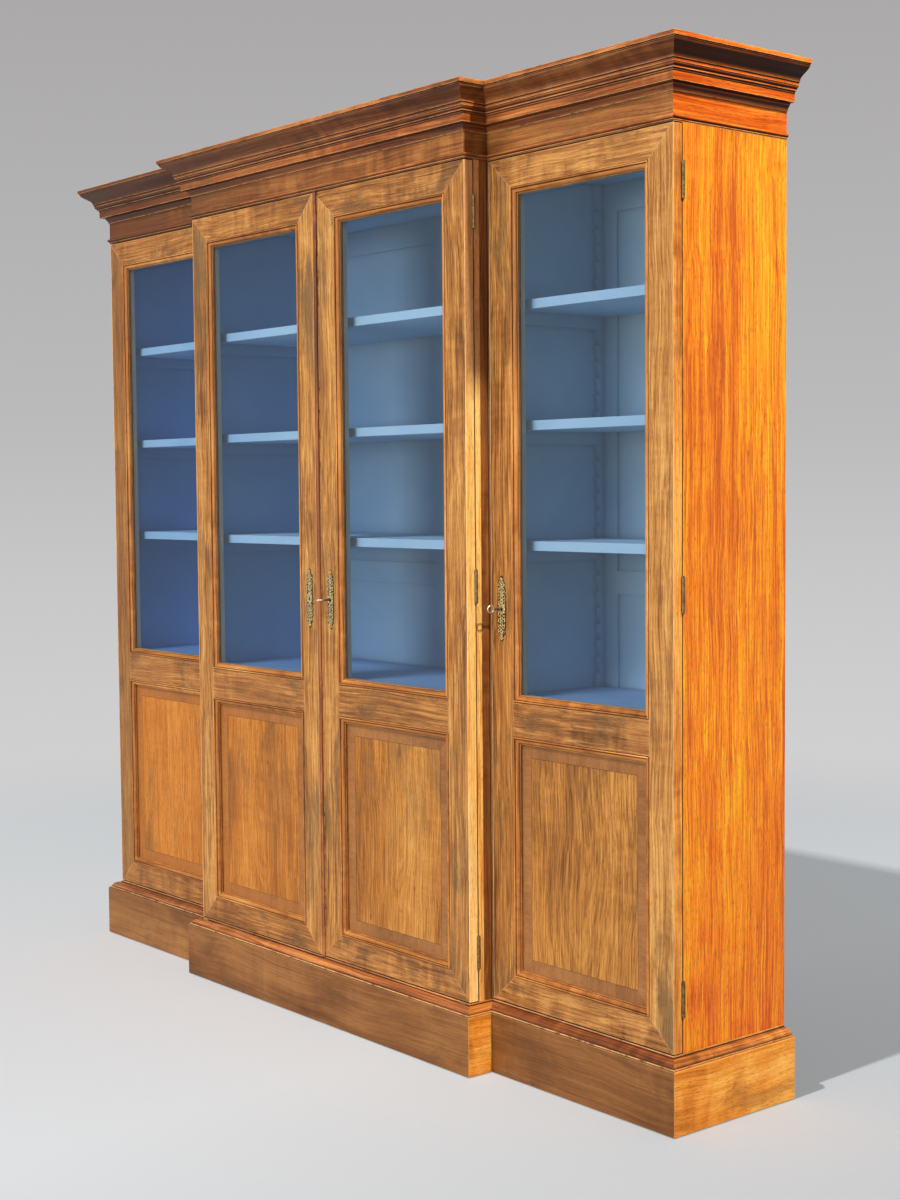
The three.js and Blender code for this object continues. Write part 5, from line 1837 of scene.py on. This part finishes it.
@dataclass
class Key(Fitting):
    """A small cabinet key: oval bow of round wire and a turned shank with collars."""

    bow_radius: float = 11.0 * MM
    wire: float = 2.5 * MM
    wire_shares: tuple[float, float] = (0.9, 0.8)
    oval: float = 0.96
    axis_height: float = 78.0 * MM
    tip_ease: float = 0.6 * MM
    shank: tuple[Point, ...] = (
        (20.5 * MM, 0.0), (20.5 * MM, 2.4 * MM), (22.0 * MM, 2.6 * MM), (23.0 * MM, 3.6 * MM), (24.2 * MM, 3.6 * MM),
        (25.0 * MM, 2.5 * MM), (34.5 * MM, 2.5 * MM), (35.6 * MM, 3.8 * MM), (38.6 * MM, 3.8 * MM),
        (39.4 * MM, 2.4 * MM),
    )
    tip_radius: float = 1.8 * MM
    slot = "steel"

    def __post_init__(self) -> None:
        """Takes the key's own body."""
        self.body = f"{self.door.name}_key_body"

    def bow(self, centre: tuple[float, float, float]) -> np.ndarray:
        """Gives the rings of the bow, a tube bent to an oval.

        A ring at angle a has the points reach * cos a along Y and reach * sin a * oval across it,
        where the reach is the bow's radius and the tube's cosine; the tube's sine is the depth.

        Args:
            centre: Middle of the bow.

        Returns:
            Rings, 48 by 16 by 3.
        """
        angle = np.linspace(0.0, 2.0 * math.pi, 48, endpoint=False)
        tube = np.linspace(0.0, 2.0 * math.pi, 16, endpoint=False)
        wide, deep = self.wire_shares
        reach = self.bow_radius - self.wire + self.wire * np.cos(tube)[None, :] * wide
        depth = self.wire * deep * np.sin(tube)[None, :] * np.ones((48, 1))
        along = np.cos(angle)[:, None] * reach
        across = np.sin(angle)[:, None] * reach * self.oval
        offsets = (across, along, depth) if self.door.bow_level else (depth, along, across)
        return np.stack(offsets, axis=-1) + centre

    def build(self) -> None:
        """Makes bow and shank in place of the plain key."""
        node = f"{self.door.name}_key"
        low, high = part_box(node)
        x, _, z = (low + high) / 2.0
        if not self.door.bow_level:
            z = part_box(f"{self.door.name}_escutcheon")[0].z + self.axis_height
        bow = ring_shell(f"{node}_bow", self.bow((x, low.y + self.bow_radius, z)), closed=True, smooth_deg=60.0)
        self.keep(bow, "key_steel", node)
        tip, thin = high.y - low.y, self.shank[-1][1]
        profile = [*self.shank, (tip - self.tip_ease, thin), (tip, self.tip_radius), (tip, 0.0)]
        shank = turned(f"{node}_shank", Vector((x, low.y, z)), Vector(TOWARDS_BACK), profile, 28)
        self.keep(shank, "shaded_key_shank", node)


@dataclass
class SlideBolts(Fitting):
    """The brass slide bolts on the back of the leaf that stays shut."""

    bolt_inset: float = 30.0 * MM
    bolt_axis: float = 9.5 * MM
    bolt_hole: float = 4.6 * MM
    plate_inset: float = 20.0 * MM
    plate_width: float = 26.0 * MM
    plate_bed: float = 0.5 * MM
    plate_proud: float = 2.0 * MM
    plate_ease: float = 0.4 * MM
    guide_length: float = 12.0 * MM
    guide_half_width: float = 9.5 * MM
    guide_foot: float = 1.5 * MM
    guide_spring: float = 8.0 * MM
    guide_rise: float = 7.0 * MM

    def guide(self) -> np.ndarray:
        """Gives the plan of a guide: an arch whose hole is round at the back of the bolt.

        Returns:
            Points across the door and back from it.
        """
        angle = np.linspace(0.0, math.pi, 24)
        wide, foot, hole = self.guide_half_width, self.guide_foot, self.bolt_hole
        outer = np.stack([-wide * np.cos(angle), self.guide_spring + self.guide_rise * np.sin(angle)], axis=1)
        inner = np.stack([hole * np.cos(angle), self.bolt_axis + hole * np.sin(angle)], axis=1)
        return np.concatenate([[(-wide, foot)], outer, [(wide, foot), (hole, foot)], inner, [(-hole, foot)]])

    def build(self) -> None:
        """Dresses the bolts and makes their back plates and guides."""
        door = self.door
        x, half = door.x1 - self.bolt_inset, self.plate_width / 2.0
        for end in ("top", "bottom"):
            self.dress(f"{end}_slide_bolt", "brass")
            low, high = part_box(f"{end}_slide_bolt")
            z0, z1 = low.z + self.plate_inset, high.z - self.plate_inset
            plate = box_shell(f"{end}_bolt_plate", (x - half, door.back - self.plate_bed, z0),
                              (x + half, door.back + self.plate_proud, z1))
            self.keep(eased(plate, self.plate_ease), "brass", door.frame_node)
            for index, foot in enumerate((z0, z1 - self.guide_length)):
                rings = upright_rings(self.guide() + (x, door.back), foot, foot + self.guide_length)
                guide = ring_shell(f"{end}_bolt_guide_{index + 1}", rings)
                self.keep(guide, "brass", door.frame_node)


@dataclass(frozen=True)
class Lamp:
    """A soft rectangular lamp, and whether the floor or the bookcase takes its light."""

    name: str
    place: tuple[float, float, float]
    aim: tuple[float, float, float]
    size: tuple[float, float]
    watts: float
    colour: Colour
    lights_floor: bool = False

    def build(self, receivers: bpy.types.Collection) -> None:
        """Adds the lamp.

        Args:
            receivers: What it lights.
        """
        data = bpy.data.lights.new(self.name, "AREA")
        data.shape = "RECTANGLE"
        data.size, data.size_y = self.size
        data.energy = self.watts
        data.color = self.colour
        lamp = bpy.data.objects.new(self.name, data)
        direction = Vector(self.aim) - Vector(self.place)
        turn = direction.to_track_quat("-Z", "Y").to_matrix().to_4x4()
        lamp.matrix_world = Matrix.Translation(self.place) @ turn
        lamp.light_linking.receiver_collection = receivers
        bpy.context.scene.collection.objects.link(lamp)


@dataclass
class Studio:
    """Pale floor, plain background and soft lamps, with the camera where the photograph was taken."""

    camera_place: tuple[float, float, float] = (3.8497, -2.9141, 1.3767)
    yaw: float = 0.88185
    pitch: float = -0.06035
    roll: float = -0.00808
    focal_px: float = 1827.8
    image_height: float = 1200.0
    sensor: float = 36.0
    lamps: tuple[Lamp, ...] = (
        Lamp("side lamp", (6.8, -0.25, 7.9), (1.2, 0.0, 1.4), (0.3, 0.5), 920.0, (1.0, 0.86, 0.68)),
        Lamp("front lamp", (0.0, -11.0, 13.8), (0.0, 0.0, 1.0), (6.0, 3.0), 2060.0, (0.97, 0.98, 1.0)),
        Lamp("low front lamp", (0.6, -7.5, 1.6), (0.0, 0.0, 1.2), (3.0, 2.0), 245.0, (0.97, 0.98, 1.0)),
        Lamp("floor lamp", (1.68, -11.0, 14.1), (0.0, 1.5, 0.0), (0.5, 0.5), 1900.0, (1.0, 1.0, 1.0), True),
    )
    sky: Colour = (0.92, 0.96, 1.0)
    sky_strength: float = 0.32
    seen_span: tuple[float, float] = (-0.4, 0.3)
    seen_tones: tuple[tuple[float, Colour], ...] = (
        (0.0, srgb(219, 218, 219)), (0.22, srgb(215, 214, 215)), (0.41, srgb(207, 206, 207)),
        (0.5, srgb(201, 200, 201)), (0.62, srgb(188, 187, 188)), (0.93, srgb(171, 169, 170)),
    )
    floor_radius: float = 9.0
    floor_drop: float = 2.0 * MM
    floor_sides: int = 96
    floor_span: tuple[float, float] = (-2.2, 2.2)
    floor_tones: tuple[tuple[float, Colour], ...] = (
        (0.0, srgb(206, 209, 210)), (0.35, srgb(211, 214, 216)), (0.6, srgb(217, 221, 223)),
        (0.8, srgb(202, 206, 208)), (1.0, srgb(186, 193, 195)),
    )
    floor_fade: tuple[float, float] = (2.9, 5.2)
    floor_lift: float = 0.17

    def camera(self) -> None:
        """Sets the camera from its place and turns: yaw about Z, then pitch, then roll."""
        cos_yaw, sin_yaw = math.cos(self.yaw), math.sin(self.yaw)
        cos_pitch, sin_pitch = math.cos(self.pitch), math.sin(self.pitch)
        forward = Vector((-sin_yaw * cos_pitch, cos_yaw * cos_pitch, sin_pitch))
        level = Vector((cos_yaw, sin_yaw, 0.0))
        upright = level.cross(forward)
        right = level * math.cos(self.roll) + upright * math.sin(self.roll)
        up = upright * math.cos(self.roll) - level * math.sin(self.roll)
        data = bpy.data.cameras.new("camera")
        data.sensor_fit = "VERTICAL"
        data.sensor_height = self.sensor
        data.lens = self.focal_px / self.image_height * self.sensor
        camera = bpy.data.objects.new("camera", data)
        turn = Matrix((right, up, -forward)).transposed().to_4x4()
        camera.matrix_world = Matrix.Translation(self.camera_place) @ turn
        bpy.context.scene.collection.objects.link(camera)
        bpy.context.scene.camera = camera

    def world(self) -> None:
        """Lights the scene evenly, and shows camera, mirror and glass rays a grey that falls off upwards."""
        world = bpy.data.worlds.new("studio")
        bpy.context.scene.world = world
        graph = Graph(world)
        height = graph.axis(graph.node("TexCoord", {}).outputs["Generated"], "Z")
        seen = graph.ramp(graph.share(height, *self.seen_span), self.seen_tones)
        path = graph.node("LightPath", {})
        direct = graph.math("MAXIMUM", path.outputs["Is Camera Ray"],
                            graph.math("MAXIMUM", path.outputs["Is Glossy Ray"], path.outputs["Is Transmission Ray"]))
        colour = graph.mix(direct, self.sky, seen)
        strength = graph.math("MULTIPLY_ADD", direct, 1.0 - self.sky_strength, self.sky_strength)
        back = graph.node("Background", {"Color": colour, "Strength": strength})
        graph.node("OutputWorld", {"Surface": back.outputs[0]})

    def floor(self) -> bpy.types.Object:
        """Makes a round floor of one sheet that fades out, far from the bookcase, into the background.

        Returns:
            The floor.
        """
        angle = np.linspace(0.0, 2.0 * math.pi, self.floor_sides, endpoint=False)
        circle = np.stack([self.floor_radius * np.cos(angle), self.floor_radius * np.sin(angle),
                           np.full(self.floor_sides, -self.floor_drop)], axis=1)
        mesh = bpy.data.meshes.new("floor")
        mesh.from_pydata(circle.tolist(), [], [tuple(range(self.floor_sides))])
        floor = bpy.data.objects.new("floor", mesh)
        bpy.context.scene.collection.objects.link(floor)
        graph = Graph.of_material("floor")
        place = graph.place()
        reach = graph.node("VectorMath", {0: place}, operation="LENGTH").outputs["Value"]
        speck = graph.times(graph.noise(place, 40.0, 3.0), 0.03)
        across = graph.math("ADD", graph.share(graph.axis(place, "X"), *self.floor_span), speck)
        matt = graph.node("BsdfDiffuse", {"Color": graph.ramp(across, self.floor_tones)})
        lift = graph.times(graph.node("LightPath", {}).outputs["Is Camera Ray"], self.floor_lift)
        glow = graph.node("Emission", {"Strength": lift})
        lifted = graph.node("AddShader", {0: matt.outputs[0], 1: glow.outputs[0]})
        clear = graph.node("BsdfTransparent", {})
        fade = graph.band(reach, *self.floor_fade)
        mixed = graph.node("MixShader", {0: fade, 1: lifted.outputs[0], 2: clear.outputs[0]})
        graph.node("OutputMaterial", {"Surface": mixed.outputs[0]})
        floor.data.materials.append(graph.owner)
        return floor

    def build(self) -> None:
        """Sets camera, world, floor and lamps: three light the bookcase, one the floor with the long shadow."""
        self.camera()
        self.world()
        floor = self.floor()
        floor_only = bpy.data.collections.new("floor only")
        floor_only.objects.link(floor)
        bookcase_only = bpy.data.collections.new("all but the floor")
        bookcase_only.objects.link(floor)
        bookcase_only.collection_objects[0].light_linking.link_state = "EXCLUDE"
        for lamp in self.lamps:
            lamp.build(floor_only if lamp.lights_floor else bookcase_only)
        bpy.context.scene.view_settings.view_transform = "Standard"


def main() -> None:
    """Builds the studio and the bookcase, piece by piece."""
    logging.basicConfig(level=logging.INFO, format="%(name)s: %(message)s")
    Studio().build()
    palette, outline = Palette(), Outline()
    for part in (
        Carcass(palette), BreakShadowStrips(palette, outline), Plinth(palette, outline), Cornice(palette, outline),
        Door(palette, "left_wing", Hand.LEFT),
        Door(palette, "left_centre", Hand.LEFT, has_bolts=True),
        Door(palette, "right_centre", Hand.RIGHT, has_bead=True, has_key=True, bow_level=True, right_edge="sunlit_break_edge"),
        Door(palette, "right_wing", Hand.RIGHT, has_key=True, left_edge="pale_highlight_edge"),
    ):
        part.build()


if __name__ == "__main__":
    main()
